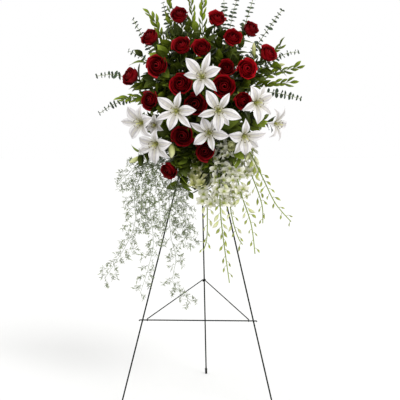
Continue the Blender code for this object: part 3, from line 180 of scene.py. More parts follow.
# where a bunch leaves the foam, the way it goes, the radius of its hole
HUBS = {"low": (Vector((0.000, FOAM_FRONT, 1.120)), AHEAD, 0.0065)}
for side, sign in (("left", -1), ("right", 1)):
    HUBS[side] = Vector((sign * 0.055, FOAM_FRONT, 1.145)), AHEAD, 0.0085
    HUBS[f"eucalyptus_{side}"] = Vector((sign * 0.060, -0.084, FOAM_TOP)), UP, 0.0050
    HUBS[f"ruscus_{side}"] = Vector((sign * 0.042, -0.101, FOAM_TOP)), UP, 0.0045
for i in range(6):
    HUBS[f"orchid_{i + 1}"] = Vector((0.004 + 0.018 * i, FOAM_FRONT, LOW_ROW)), AHEAD, 0.0026
for i, strand in enumerate(("left", "middle", "right")):
    HUBS[f"fern_{strand}"] = Vector((-0.092 + 0.026 * i, FOAM_FRONT, LOW_ROW)), AHEAD, 0.0030
print(len(HUBS), "bunches")

# %% Side stems and seen stems
SIDE_STEMS = {
    # where a stem's leaves start (x, z), its tip (x, z)
    "eucalyptus_left": (
        ((-0.320, 1.305), (-0.415, 1.305)),
        ((-0.320, 1.200), (-0.405, 1.155)),
        ((-0.235, 1.475), (-0.265, 1.530)),
        ((-0.215, 1.365), (-0.285, 1.405)),
        ((-0.115, 1.465), (-0.145, 1.595)),
    ),
    "eucalyptus_right": (
        ((0.100, 1.555), (0.090, 1.625)),
        ((0.125, 1.500), (0.150, 1.600)),
        ((0.190, 1.525), (0.220, 1.620)),
        ((0.250, 1.450), (0.330, 1.560)),
        ((0.320, 1.375), (0.395, 1.395)),
        ((0.285, 1.235), (0.405, 1.210)),
    ),
    "ruscus_left": (
        ((-0.165, 1.500), (-0.210, 1.570)),
        ((-0.115, 1.570), (-0.115, 1.625)),
        ((-0.025, 1.515), (-0.035, 1.630)),
        ((-0.245, 1.220), (-0.335, 1.210)),
    ),
    "ruscus_right": (
        ((0.015, 1.500), (0.025, 1.645)),
        ((0.250, 1.295), (0.415, 1.340)),
        ((0.270, 1.265), (0.390, 1.275)),
        ((0.305, 1.400), (0.345, 1.430)),
    ),
}
SIDE_DEPTHS = {"eucalyptus": -0.060, "ruscus": -0.090}
SEEN_STEMS = ((1, "left"), (2, "right"), (4, "right"), (6, "left"))
print(sum(map(len, SIDE_STEMS.values())), "side stems,", len(SEEN_STEMS), "rose stems that stay in sight")

# %% Orchids and fern
ORCHIDS = {
    # the stem's way down as (x, z), its depth near the foam and further down, how many florets it opens
    1: [(((0.015, 1.04), (0.025, 0.97), (0.035, 0.835), (0.035, 0.67), (0.02, 0.61)), (-0.132, -0.16), 8)],
    2: [(((0.075, 1.03), (0.085, 0.95), (0.09, 0.785), (0.1, 0.675), (0.125, 0.49)), (-0.182, -0.21), 9)],
    3: [(((0.1, 1.03), (0.11, 0.95), (0.13, 0.765), (0.155, 0.67), (0.175, 0.635)), (-0.132, -0.16), 9)],
    4: [(((0.125, 1.02), (0.14, 0.97), (0.17, 0.845), (0.21, 0.72), (0.225, 0.605)), (-0.182, -0.215), 8)],
    5: [(((0.15, 1.04), (0.175, 1.0), (0.205, 0.925), (0.25, 0.8), (0.255, 0.72)), (-0.135, -0.165), 6)],
    6: [(((0.17, 1.05), (0.21, 0.99), (0.255, 0.9), (0.305, 0.8), (0.365, 0.73)), (-0.175, -0.2), 4)],
}
# a short side spray between two of the long ones, which the solid model leaves out
SIDE_SPRAY = ((0.002, 1.035), (-0.014, 0.975), (-0.014, 0.92), (0.004, 0.868))
ORCHIDS[1].append((SIDE_SPRAY, (-0.14, -0.195), 6))
FERN_NEAR = -0.131  # every strand's depth near the foam
FERNS = {
    # depth further down, then the way down as (x, z); the solid model leaves out the last of each bunch
    "left": (
        (-0.2, (-0.15, 1.03), (-0.205, 0.94), (-0.245, 0.85), (-0.246, 0.725), (-0.285, 0.63), (-0.37, 0.5)),
        (-0.19, (-0.17, 1.01), (-0.225, 0.97), (-0.28, 0.91), (-0.32, 0.87)),
        (-0.185, (-0.14, 1.02), (-0.21, 0.9), (-0.222, 0.78), (-0.215, 0.68)),
    ),
    "middle": (
        (
            -0.235, (-0.12, 1.01), (-0.16, 0.93), (-0.184, 0.815),
            (-0.17, 0.66), (-0.187, 0.563), (-0.224, 0.448),
        ),
        (-0.205, (-0.13, 1.0), (-0.165, 0.9), (-0.15, 0.8), (-0.145, 0.7)),
    ),
    "right": (
        (
            -0.175, (-0.072, 1.01), (-0.11, 0.85), (-0.108, 0.68),
            (-0.088, 0.583), (-0.098, 0.48), (-0.025, 0.41),
        ),
        (-0.165, (-0.038, 0.99), (-0.065, 0.835), (-0.045, 0.755), (-0.025, 0.655)),
        (-0.185, (-0.065, 1.0), (-0.085, 0.9), (-0.08, 0.8), (-0.045, 0.625)),
    ),
}
print(sum(map(len, ORCHIDS.values())), "orchid sprays,", sum(map(len, FERNS.values())), "fern strands")

# %% [markdown]
# ## Ways and frames
# A cut stem leaves the foam straight, bends once and comes to its bloom from behind. The same few rules
# draw every stem, so that the fine pieces run where the solid ones do. Blender's curve objects could
# do this too, but leaves, buds and tufts need to find their places on a stem, and that is easier with
# a plain list of points.

# %% Frames


def facing(turn, lift):
    """Straight ahead is -Y; turn goes towards +X and lift goes up, in degrees."""
    turn, lift = math.radians(turn), math.radians(lift)
    return Vector((math.sin(turn) * math.cos(lift), -math.cos(turn) * math.cos(lift), math.sin(lift)))


def frame_on(origin, z_axis, about=Vector((0, 0, 1))):
    """A matrix whose Z is the given axis and whose X lies across about."""
    z_axis = Vector(z_axis).normalized()
    x_axis = Vector(about).cross(z_axis)
    if x_axis.length < 0.05:
        x_axis = Vector((1, 0, 0)).cross(z_axis)
    x_axis.normalize()
    axes = Matrix((x_axis, z_axis.cross(x_axis), z_axis)).transposed()
    return Matrix.Translation(origin) @ axes.to_4x4()


print("turned 30 degrees, a bloom looks along", [round(v, 2) for v in facing(30, 0)])

# %% Ways


def smooth_way(points, step):
    """Points about one step apart on a smooth curve through the given points."""
    points = [Vector(point) for point in points]
    way = [points[0]]
    for i in range(len(points) - 1):
        start, end = points[i], points[i + 1]
        before, after = points[max(i - 1, 0)], points[min(i + 2, len(points) - 1)]
        count = max(2, round((end - start).length / step))
        handles = start + (end - before) / 6, end - (after - start) / 6
        way += interpolate_bezier(start, *handles, end, count + 1)[1:]
    return way


def way_length(way):
    return sum((b - a).length for a, b in zip(way, way[1:]))


def along_way(way, share):
    """The point at a share of the way's length, and the direction there."""
    left = share * way_length(way)
    for a, b in zip(way, way[1:]):
        step = (b - a).length
        if left <= step:
            return a.lerp(b, left / step), (b - a).normalized()
        left -= step
    return way[-1].copy(), (way[-1] - way[-2]).normalized()


arch = smooth_way([(0, 0, 0), (1, 0, 1), (2, 0, 0)], 0.1)
print("an arch 2 wide and 1 high has", len(arch), "points and measures", round(way_length(arch), 2))

# %% Ways out of the foam
IN_HOLE, OUT_OF_HOLE = 0.006, 0.009
STRAIGHT_NECK = 0.008
WAY_STEP = 0.012
FALL_END, FALL_HEIGHT = 0.88, 0.16  # a hanging stem comes forward down to this height, over that much


def out_of_foam(bunch, goal):
    """Two points of a stem in its hole and just out of it, on the side that it will leave by."""
    place, out, radius = HUBS[bunch]
    aside = Vector(goal) - place
    aside -= aside.dot(out) * out
    place = place + aside * min(radius * 2.6, radius * 0.55 / aside.length)
    return place - out * IN_HOLE, place + out * OUT_OF_HOLE


def bloom_stem(bunch, foot, normal, reach=0.40):
    """From a bunch's hole to a bloom's foot, arriving straight behind the bloom."""
    inside, outside = out_of_foam(bunch, foot)
    out = (outside - inside).normalized()
    neck = foot - normal * STRAIGHT_NECK
    span = (neck - outside).length
    handles = outside + out * span * 0.15, neck - normal * span * reach
    return [inside, *interpolate_bezier(outside, *handles, neck, 13), foot]


def side_stem(bunch, start, tip):
    """From the foam's top, through where the leaves start, to just short of the last leaf's tip."""
    depth = SIDE_DEPTHS[bunch.split("_")[0]]
    middle, end = Vector((start[0], depth * 1.06, start[1])), Vector((tip[0], depth, tip[1]))
    if bunch.startswith("ruscus"):
        end -= (end - middle).normalized() * 0.030
    inside, outside = out_of_foam(bunch, middle)
    over = outside + Vector(((start[0] - outside.x) * 0.22, (depth - outside.y) * 0.5, 0.040))
    return [inside, *smooth_way([outside, over, middle, end], WAY_STEP)]


def hanging_way(bunch, corners, depths):
    """Out of the foam and down: at one depth near the foam, at another further down."""
    inside, outside = out_of_foam(bunch, Vector((corners[0][0], -1, corners[0][1])))
    points = [outside]
    for x, z in corners:
        near = min(1.0, max(0.0, (z - FALL_END) / FALL_HEIGHT))
        points.append(Vector((x, depths[1] + (depths[0] - depths[1]) * near, z)))
    return [inside, *smooth_way(points, WAY_STEP)]


far, *corners = FERNS["left"][0]
strand = hanging_way("fern_left", corners, (FERN_NEAR, far))
print("the first strand of fern is", round(way_length(strand), 2), "m long")

# %% Room round the blooms
ROSE_FOOT = Vector((0, 0, -0.009))

rose_frames, lily_frames = [], []
for x, y, z, turn, lift, size in ROSES:
    rose_frames.append(frame_on(Vector((x, y, z)) - facing(turn, lift) * size * 0.80, facing(turn, lift)))
for x, y, z, turn, lift, size, _, _ in LILIES:
    lily_frames.append(frame_on(Vector((x, y, z)) - facing(turn, lift) * size * 0.45, facing(turn, lift)))
# balls that stand for the roses, the lilies' throats and tepals, and the rose stems that stay in sight
bloom_balls = [(m @ Vector((0, 0, r[5] * 0.80)), r[5] * 0.95) for m, r in zip(rose_frames, ROSES)]
for matrix, lily in zip(lily_frames, LILIES):
    length, angles, shares = lily[5:]
    bloom_balls.append((matrix @ Vector((0, 0, length * 0.2)), length * 0.18))
    for angle, share in zip(angles, shares):
        turned = matrix @ Matrix.Rotation(math.radians(angle), 4, "Z")
        for reach in (0.30, 0.55, 0.80):
            bloom_balls.append((turned @ (Vector((reach * share, 0, 0.44)) * length), length * 0.14))
for number, bunch in SEEN_STEMS:
    matrix = rose_frames[number - 1]
    way = bloom_stem(bunch, matrix @ ROSE_FOOT, matrix.to_3x3().col[2])
    for drop in (0.020, 0.035, 0.050, 0.065):
        spot, _ = along_way(way, 1 - drop / way_length(way))
        bloom_balls.append((spot + Vector((0, -0.016, 0)), 0.011))
ball_places = np.array([tuple(place) for place, _ in bloom_balls])
ball_sizes = np.array([size for _, size in bloom_balls])
print(len(bloom_balls), "balls stand for the blooms where leaves look for room")

# %% [markdown]
# ## Thin sheets and round stems
# Petals and leaves are thin curved sheets, so each is a grid of points bent by a rule. Every point keeps
# how far it lies along its petal, how far across it, and a tone of the petal's own. The materials read
# those three marks for veins, tinted throats and the small differences between one petal and the next.
# Sculpting would give softer folds, but a rule makes hundreds of petals that all differ a little, and
# makes the same ones each time.

# %% Values between knots


def curve_through(knots, share):
    """Smooth rows of values at each share from 0 to 1, through knots that are evenly spaced."""
    knots = np.asarray(knots, float)
    last = len(knots) - 1
    spot = np.clip(share, 0, 1) * last
    i = np.minimum(spot.astype(int), last - 1)
    t = (spot - i)[..., None] if knots.ndim > 1 else spot - i
    before, start, end, after = (knots[np.clip(i + k, 0, last)] for k in (-1, 0, 1, 2))
    bend = 2 * before - 5 * start + 4 * end - after + t * (3 * (start - end) + after - before)
    return start + 0.5 * t * (end - before + t * bend)


print("half way between knots 0, 1 and 0 the value is", float(curve_through((0, 1, 0), 0.5)))

# %% Thin sheets and round stems
POINTED = 1e-5
MARKS = ("along", "across", "tone")


class Piece:
    """Sheets and stems of one piece, each with its finish, kept as arrays until the piece is made."""

    def __init__(self):
        self.points, self.faces, self.marks, self.slots, self.finishes = [], [], [], [], []
        self.total = 0

    def add(self, points, faces, along, across, tone, finish, matrix=None):
        if finish not in self.finishes:
            self.finishes.append(finish)
        marks = np.stack(np.broadcast_arrays(along, across, tone), -1).reshape(-1, 3)
        points = np.asarray(points, float).reshape(-1, 3)
        if matrix is not None:
            matrix = np.array(matrix)
            points = points @ matrix[:3, :3].T + matrix[:3, 3]
        self.points.append(points + np.array(SHIFT))
        self.faces.append(np.asarray(faces).reshape(-1, 4) + self.total)
        self.marks.append(marks)
        self.slots.append(np.full(len(self.faces[-1]), self.finishes.index(finish)))
        self.total += len(points)

    def sheet(self, surface, rows, columns, tone, finish, matrix=None):
        """A grid bent by surface(along 0..1, across -1..1)."""
        steps = np.linspace(0, 1, rows + 1), np.linspace(-1, 1, columns + 1)
        along, across = np.meshgrid(*steps, indexing="ij")
        first = (np.arange(rows)[:, None] * (columns + 1) + np.arange(columns)).ravel()
        faces = np.stack([first, first + 1, first + columns + 2, first + columns + 1], -1)
        self.add(surface(along, across), faces, along, across, tone, finish, matrix)

    def stem(self, way, radii, sides, tone, finish):
        """A round stem; radii are knots spread evenly over the way, and both ends close to a point."""
        way = np.array([tuple(point) for point in way])
        knots = radii if np.ndim(radii) else (radii, radii)
        thick = curve_through(knots, np.linspace(0, 1, len(way)))
        ahead = np.gradient(way, axis=0)
        way, ahead = (np.concatenate([rows[:1], rows, rows[-1:]]) for rows in (way, ahead))
        thick = np.concatenate([[POINTED], thick, [POINTED]])
        ahead /= np.linalg.norm(ahead, axis=1, keepdims=True)
        side = np.cross(ahead[0], (0.31, 0.83, 0.47))
        turns = np.linspace(0, math.tau, sides, endpoint=False)
        rings = []
        for direction, place, radius in zip(ahead, way, thick):
            side = side - side.dot(direction) * direction
            side /= np.linalg.norm(side)
            other = np.cross(direction, side)
            rings.append(place + radius * (np.outer(np.cos(turns), side) + np.outer(np.sin(turns), other)))
        first = np.arange(len(way) - 1)[:, None] * sides
        here, beside = first + np.arange(sides), first + (np.arange(sides) + 1) % sides
        faces = np.stack([here, beside, beside + sides, here + sides], -1)
        shares = np.linspace(0, 1, len(way))[:, None] + 0 * turns
        self.add(np.array(rings), faces, shares, turns / math.pi - 1, tone, finish)

    def spindle(self, foot, tip, radii, sides, tone, finish, bend=0.0):
        """A bud, anther or other round form between two points, with its radii as evenly spread knots."""
        aside = (tip - foot).cross(Vector((0.3, 1, 0.2))).normalized() * bend * (tip - foot).length
        way = [foot.lerp(tip, i / 8) + aside * math.sin(math.pi * i / 8) for i in range(9)]
        self.stem(way, radii, sides, tone, finish)

    def tied_foot(self, bunch, sides, finish):
        """The foot of a bunch, which fills its hole in the foam."""
        hub, out, radius = HUBS[bunch]
        self.spindle(hub - out * 0.022, hub + out * 0.008, (radius, radius), sides, 0.3, finish)

    def make(self, name, nodes, slot):
        """The finished piece, riding with the part and standing for the named solids."""
        mesh = bpy.data.meshes.new(name)
        mesh.from_pydata(np.concatenate(self.points).tolist(), [], np.concatenate(self.faces).tolist())
        mesh.polygons.foreach_set("material_index", np.concatenate(self.slots).astype(np.int32))
        for column, mark in enumerate(MARKS):
            values = mesh.attributes.new(mark, "FLOAT", "POINT")
            values.data.foreach_set("value", np.concatenate(self.marks)[:, column].astype(np.float32))
        for finish in self.finishes:
            mesh.materials.append(finish)
        mesh.shade_smooth()
        piece = bpy.data.objects.new(name, mesh)
        bpy.context.scene.collection.objects.link(piece)
        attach(piece, "root")
        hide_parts(*nodes)
        print(f"{name}: {2 * len(mesh.polygons)} triangles")


print("each point keeps its", ", ".join(MARKS))

# %% [markdown]
# ## Petal and leaf finishes
# A petal is a thin wet film: light comes through it, and its surface has a soft sheen. So each of these
# mixes a little translucent light with an ordinary surface. Leaves have a waxier skin, a paler middle
# rib and side veins. Stripes run with the marks, so they fit every petal whatever its size. Scattering
# under the surface could carry the light as well, but it needs a thickness, and these sheets have none.

# %% A node, and a finish for all that grows
MOTTLE_MM = 11.1  # the slow change from lighter to darker skin
WAXY_SHEEN, RIB_STRENGTH = 0.14, 0.55
MILLIMETRE = 0.001


def add_node(tree, kind, *values, out=0, stops=(), **settings):
    """Adds a node and gives one of its outputs.

    Values go to the first sockets in order. A setting with a capital is a socket's, by its identifier,
    and the others are the node's own. Stops are those of a colour ramp, as (position, #rrggbb).
    """
    node = tree.nodes.new("ShaderNode" + kind)
    sockets = dict(enumerate(values))
    for key, value in settings.items():
        if key[0].isupper():
            sockets[[socket.identifier for socket in node.inputs].index(key)] = value
        else:
            setattr(node, key, value)
    for key, value in sockets.items():
        if isinstance(value, bpy.types.NodeSocket):
            tree.links.new(value, node.inputs[key])
        else:
            node.inputs[key].default_value = value
    for _ in stops[2:]:
        node.color_ramp.elements.new(0.5)
    for i, (position, code) in enumerate(stops):
        node.color_ramp.elements[i].position, node.color_ramp.elements[i].color = position, linear(code)
    return node.outputs[out]


def living_surface(
    name, stops, rib=None, rib_width=0.06, rays=0.0, painted_light_across=(), painted_shade_lines=(), stripes=None,
    roughness=0.45, through=0.10, grain_mm=1.5, depth=0.15, range_of_tone=0.4,
):
    """The finish of a petal, leaf or stem; stops are its colours from its foot to its tip.

    Rib is the middle line's colour, and with rays the foot's colours reach further along that line. The
    colours across, from the middle line to the rim, are painted shade beside the middle line and a painted
    highlight at the rim; the painted streaks, as (how many, their colours), are painted shade of fine
    ridges. Stripes are the relief of ribs and veins: how many, and how far they lean along the leaf.
    Through is the share of light let by.
    """
    material = bpy.data.materials.new(name)
    material.use_nodes = True
    tree = material.node_tree
    add = partial(add_node, tree)
    along, across, tone = (add("Attribute", attribute_name=mark, out="Fac") for mark in MARKS)
    side = add("Math", across, operation="ABSOLUTE")
    colour = add("ValToRGB", add("Math", side, rays, along, operation="MULTIPLY_ADD"), stops=stops)
    if rib:
        near = add("Math", 1.0, add("Math", side, rib_width, operation="DIVIDE"), operation="SUBTRACT")
        near = add("Math", near, RIB_STRENGTH, operation="MULTIPLY", use_clamp=True)
        colour = add("Mix", near, data_type="RGBA", A_Color=colour, B_Color=linear(rib), out=2)
    # painted light across a tepal: painted shade beside the middle line, a painted highlight at the rim, and
    # painted shade in fine streaks along it
    painted_light_tints = [add("ValToRGB", side, stops=painted_light_across)] if painted_light_across else []
    if painted_shade_lines:
        waves = add("Math", add("Math", side, painted_shade_lines[0], operation="MULTIPLY"), operation="SINE")
        painted_light_tints.append(add("ValToRGB", add("Math", waves, 0.5, 0.5, operation="MULTIPLY_ADD"), stops=painted_shade_lines[1]))
    for painted_light_tint in painted_light_tints:
        colour = add("Mix", 1.0, data_type="RGBA", blend_type="MULTIPLY", A_Color=colour, B_Color=painted_light_tint, out=2)
    place = add("TexCoord", out="Object")
    mottle = add("TexNoise", Vector=place, Scale=1 / (MOTTLE_MM * MILLIMETRE), Detail=3, out="Fac")
    drift = add("Math", mottle, 0.40, 0.80, operation="MULTIPLY_ADD")
    own_tone = add("Math", tone, 0.5, operation="SUBTRACT")
    lightness = add("Math", own_tone, range_of_tone, drift, operation="MULTIPLY_ADD")
    shaded = add("HueSaturation", Value=lightness, Color=colour)
    height = add("TexNoise", Vector=place, Scale=1 / (grain_mm * MILLIMETRE), out="Fac")
    if stripes:
        lane = add("Math", side, stripes[0], operation="MULTIPLY")
        lane = add("Math", along, stripes[1], lane, operation="MULTIPLY_ADD")
        height = add("Math", add("Math", lane, operation="SINE"), 0.9, height, operation="MULTIPLY_ADD")
    bump = add("Bump", Strength=depth, Distance=MILLIMETRE, Height=height)
    shader, output = tree.nodes["Principled BSDF"], tree.nodes["Material Output"]
    shader.inputs["Roughness"].default_value = roughness
    shader.inputs["Specular IOR Level"].default_value = WAXY_SHEEN
    tree.links.new(shaded, shader.inputs["Base Color"])
    tree.links.new(bump, shader.inputs["Normal"])
    mix = add("MixShader", through, shader.outputs[0], add("BsdfTranslucent", shaded))
    tree.links.new(mix, output.inputs["Surface"])
    return material


print("petals and leaves change their tone every", MOTTLE_MM, "mm")

# %% Petals
# velvet skin: dull, hardly any light comes through; each petal is painted nearly black at its foot, as
# painted shade down in the heart
red_petal = living_surface(
    "red_petal",
    [(0.0, "#2c0003"), (0.5, "#6a020b"), (0.9, "#930612"), (1.0, "#7c030c")],
    roughness=0.6, stripes=(12, 0), depth=0.06, range_of_tone=0.9,
)
# thick white skin with a soft gloss and a green throat. Its grey-green middle rib is partly its own green,
# partly painted shade of its groove; the grey beside the rib and in fine streaks along the tepal is painted
# shade, and the white at the edges a painted highlight
white_tepal = living_surface(
    "white_tepal",
    [
        (0.0, "#66751a"), (0.10, "#a9b043"), (0.18, "#ced09a"), (0.27, "#e5e3d3"), (0.6, "#f5f4f2"),
        (1.0, "#fefdfd"),
    ],
    rib="#c3c296", rib_width=0.10, rays=0.12,
    painted_light_across=[(0.0, "#ece9e4"), (0.15, "#d5d2d2"), (0.42, "#e0dedf"), (0.68, "#fafafa"), (1.0, "#ffffff")],
    painted_shade_lines=(14, [(0.0, "#e9e6e8"), (1.0, "#ffffff")]),
    roughness=0.50, through=0.16, stripes=(9, 0), depth=0.30, range_of_tone=0.15,
)
# waxy cream petals that turn green towards the stalk, their own colour, and are painted darker there as
# painted shade in the floret's heart; and greener ones that have only just opened
orchid_petal = living_surface(
    "orchid_petal",
    [(0.0, "#8a9a34"), (0.16, "#b5bd72"), (0.38, "#d5d4be"), (0.8, "#e2e1d3"), (1.0, "#f1f0e6")],
    rib="#c0c59a", rib_width=0.2, roughness=0.50, stripes=(7, 0), depth=0.20,
)
young_orchid = living_surface(
    "young_orchid",
    [(0.0, "#8c9036"), (0.3, "#bcbc78"), (0.8, "#dad8ac"), (1.0, "#e9e6cb")],
    rib="#b3b470", rib_width=0.2, roughness=0.50, through=0.12, stripes=(7, 0), depth=0.20, range_of_tone=0.5,
)
# taut smooth buds, lit from within: lime while shut, paler as they open, cream on the lilies
lime_bud = living_surface("lime_bud", [(0.0, "#74842d"), (0.5, "#9fa950"), (1.0, "#bcc27a")], through=0.22)
opening_bud = living_surface(
    "opening_bud", [(0.0, "#a9b35c"), (0.35, "#d0d49a"), (1.0, "#ecebd8")], through=0.25, range_of_tone=0.2
)
cream_bud = living_surface(
    "cream_bud",
    [(0.0, "#7c8a35"), (0.35, "#b9bf77"), (1.0, "#d2d3a4")],
    through=0.12, stripes=(9, 0), range_of_tone=0.2,
)
# a lily's stamens: glossy green-yellow stalks, and rough brown heads full of pollen
filament = living_surface("filament", [(0.0, "#abae3c"), (1.0, "#d3d286")], through=0.12)
anther = living_surface(
    "anther", [(0.0, "#5a5038"), (1.0, "#6e6448")], roughness=0.85, through=0.0, grain_mm=0.4, depth=0.5
)
print(len(bpy.data.materials), "materials")

# %% Leaves and stems
# waxed leaves with a paler rib and slanting veins: old ones are dark and close, young ones bright
broad_leaf = living_surface(
    "broad_leaf",
    [(0.0, "#26320b"), (0.5, "#38430f"), (1.0, "#525e1b")],
    rib="#6e7c3c", roughness=0.42, through=0.06, stripes=(5, 34), depth=0.3, range_of_tone=1.2,
)
young_leaf = living_surface(
    "young_leaf",
    [(0.0, "#42500f"), (0.5, "#5d6d17"), (1.0, "#7a8a29")],
    rib="#939f4c", roughness=0.42, through=0.12, stripes=(5, 34), depth=0.3, range_of_tone=0.9,
)
# ruscus: long veins side by side, a fresh yellow green
bright_leaf = living_surface(
    "bright_leaf",
    [(0.0, "#3e4d0b"), (0.6, "#697b16"), (1.0, "#8f9e2c")],
    rib="#a3ae50", rib_width=0.07, roughness=0.42, stripes=(14, 0), depth=0.2, range_of_tone=1.2,
)
# eucalyptus: a grey bloom lies on the leaf and takes its gloss away
grey_leaf = living_surface(
    "grey_leaf",
    [(0.0, "#364234"), (1.0, "#465340")],
    rib="#68755d", rib_width=0.08, roughness=0.60, through=0.06, stripes=(5, 20), range_of_tone=0.8,
)
# asparagus fern: hair-thin dull needles that the light goes round
fern_green = living_surface(
    "fern_green", [(0.0, "#5d6b48"), (1.0, "#949c7a")], roughness=0.60, through=0.20, range_of_tone=0.9
)
fern_stem = living_surface("fern_stem", [(0.0, "#47562f"), (1.0, "#7a8762")], roughness=0.60, through=0.05)
# smooth round stems, darker towards the foam
stem_green = living_surface(
    "stem_green",
    [(0.0, "#2c4214"), (0.6, "#5f7330"), (1.0, "#8a9850")],
    roughness=0.50, through=0.03, stripes=(6, 0), depth=0.1,
)
orchid_stem = living_surface("orchid_stem", [(0.0, "#5f7026"), (1.0, "#8c9c42")], through=0.05)
print(len(bpy.data.materials), "materials")

# %% [markdown]
# ## Roses
# A rose opens in a spiral: each petal stands about 137.5 degrees round from the one before it and a
# little further out. The petals of the heart wrap right round each other. The guard petals outside are
# wide cups whose rims roll back, often to a small point. One petal could be modelled by hand and
# copied, but copies show. So one rule bends them all, and each has its own width, roll and ripple.

# %% Roses
ROSE_HEART = ((0.04, 0.42), (0.16, 0.70), (0.22, 1.00), (0.19, 1.22), (0.08, 1.38))
ROSE_GUARD = ((0.10, 0.00), (0.60, 0.12), (0.90, 0.50), (0.93, 0.86), (0.96, 1.10))
ROSE_AGES = (
    # 0 in the heart, 1 outside: petals come in rounds, so that wide faces show between them
    0.00, 0.06, 0.12, 0.18, 0.24, 0.31,
    0.44, 0.48, 0.52, 0.57,
    0.72, 0.77, 0.82, 0.86,
    0.94, 0.97, 1.00,
)
GOLDEN_TURN = math.radians(137.5)
# painted light and shade: roses that stand in shade are painted darker, those in the lamp's light lighter,
# and one the brightest
SHADED_ROSES, LIT_ROSES, BEST_LIT_ROSE = (1, 3, 4, 10, 15, 16, 18, 19, 20), (2, 5, 8, 11, 14, 17), 13
FACING_UP = 20  # degrees of lift from which a rose stays a little more closed


def rose_petal(radius, age, openness, chance):
    """One petal, from age 0 in the heart to age 1 outside, in the bloom's frame."""
    heart, guard = np.array(ROSE_HEART), np.array(ROSE_GUARD)
    profile = heart + (guard - heart) * (age * openness) ** 0.75
    half = math.radians(118 - 62 * age**0.6) * chance.uniform(0.90, 1.08)
    swirl, roll = 0.16 - 0.08 * age, 0.02 + 0.11 * age**1.5 * chance.uniform(0.5, 1.4)
    waves, phase = chance.uniform(1.2, 2.2), chance.uniform(0, math.tau)
    point, tip_over = chance.uniform(0.02, 0.20) * age, chance.uniform(-0.09, 0.09) * age

    def surface(along, across):
        reach, rise = np.moveaxis(curve_through(profile, along), -1, 0)
        spread = 0.40 + 0.60 * np.sin(np.minimum(along * 1.3, 1) * math.pi / 2)
        angle = half * across * spread * (1 - 0.16 * along**4)
        rim = np.clip((along - 0.66) / 0.34, 0, 1) ** 2
        edge = across**4
        reach = reach * (1 + (swirl + tip_over * along) * across) + roll * rim * (0.7 + 0.5 * across**2)
        reach = reach + 0.010 * np.sin(waves * angle * 2 + phase) * along**2 * (0.4 + age)
        pointed = point * rim * np.exp(-((across / 0.22) ** 2))
        reach, rise = reach + 0.5 * pointed, rise - roll * rim * rim * 0.40 - 0.20 * edge * along**2 + pointed
        return np.stack([reach * np.cos(angle), reach * np.sin(angle), rise], -1) * radius

    return surface


# how much lighter or darker a rose is painted for the light or shade where it stands
def painted_light_on_rose(number):
    if number == BEST_LIT_ROSE:
        return 1.15
    return 0.20 if number in SHADED_ROSES else 0.65 if number in LIT_ROSES else 0.45


for number, (rose, matrix) in enumerate(zip(ROSES, rose_frames), 1):
    chance = random.Random(100 + number)
    bloom = Piece()
    turn = chance.uniform(0, math.tau)
    openness = 1.0 if rose[4] < FACING_UP else 0.9
    for i, age in enumerate(ROSE_AGES):
        turned = matrix @ Matrix.Rotation(turn + i * GOLDEN_TURN, 4, "Z")
        # inner petals are painted darker, as painted shade in the heart, on top of the rose's painted light
        # and a random difference
        tone = painted_light_on_rose(number) + chance.uniform(-0.12, 0.12) + 0.45 * (age - 0.65)
        bloom.sheet(rose_petal(rose[5], age, openness, chance), 9, 10, tone, red_petal, turned)
    bloom.make(f"rose_bloom_{number:02d}", [f"rose_{number:02d}"], "red_petal")

# %% [markdown]
# ## Lilies
# An oriental lily has three broad inner petals over three narrower outer ones, all called tepals. They
# climb out of a green throat, spread and bend back at their tips. Six stamens and a longer pistil stand
# in the middle. Flat cards with painted petals would do from the front alone. A sheet that follows
# seven knots from throat to tip bends as a real tepal does, and holds from all sides.

# %% Lilies
# a tepal's way from the throat as (out, up), in its own lengths, and half its widths on the way
TEPAL_WAY = (
    (0.02, 0.00), (0.13, 0.21), (0.27, 0.355), (0.43, 0.45), (0.61, 0.505), (0.80, 0.50), (1.00, 0.39),
)
INNER_WIDTHS = (0.030, 0.095, 0.175, 0.222, 0.218, 0.138, 0.003)
OUTER_WIDTHS = (0.025, 0.070, 0.120, 0.152, 0.150, 0.092, 0.003)
LILY_BREADTHS = {5: 1.25, 6: 1.15, 8: 1.28, 9: 1.25, 10: 1.35}
ANTHER_HALF = 0.0050


def lily_tepal(length, widths, drop, share, chance):
    """One tepal; drop lowers it under its neighbours, and share is how much of its length it reaches."""
    waves, phase = chance.uniform(2.2, 3.4), chance.uniform(0, math.tau)
    tip_bend, lean = chance.uniform(-0.02, 0.04) + 0.5 * (1 - share), chance.uniform(-0.05, 0.05)

    def surface(along, across):
        reach, rise = np.moveaxis(curve_through(TEPAL_WAY, along), -1, 0)
        side = np.abs(across)
        rise = rise - drop * np.minimum(along * 4, 1) - tip_bend * along**4
        rise = rise + (0.060 - 0.080 * along) * side**1.6 - 0.016 * np.exp(-((across / 0.12) ** 2))
        ripple = np.sin(waves * along * math.tau + phase + across)
        rise = rise + 0.016 * ripple * side**2 * np.minimum(along * 2, 1)
        aside = curve_through(widths, along) * across + lean * along**2
        return np.stack([reach * share, aside, rise], -1) * length

    return surface


def stamens(bloom, matrix, length, chance):
    """Six stalks, each with a head that lies across its end."""
    up = Vector((0, 0, length))
    for i in range(6):
        angle = math.tau * (i + 0.5) / 6 + chance.uniform(-0.15, 0.15)
        out = Vector((math.cos(angle), math.sin(angle), 0)) * length
        ends = [up * 0.08, up * 0.30 + out * 0.05, up * 0.48 + out * 0.12, up * 0.56 + out * 0.20]
        way = [matrix @ point for point in smooth_way(ends, 0.008)]
        bloom.stem(way, (0.0009, 0.0006), 5, 0.4, filament)
        head, across = way[-1], matrix.to_3x3() @ Vector((-out.y, out.x, 0)).normalized() * ANTHER_HALF
        bloom.spindle(head - across, head + across, (0.0002, 0.0014, 0.0016, 0.0014, 0.0002), 6, 0.5, anther)


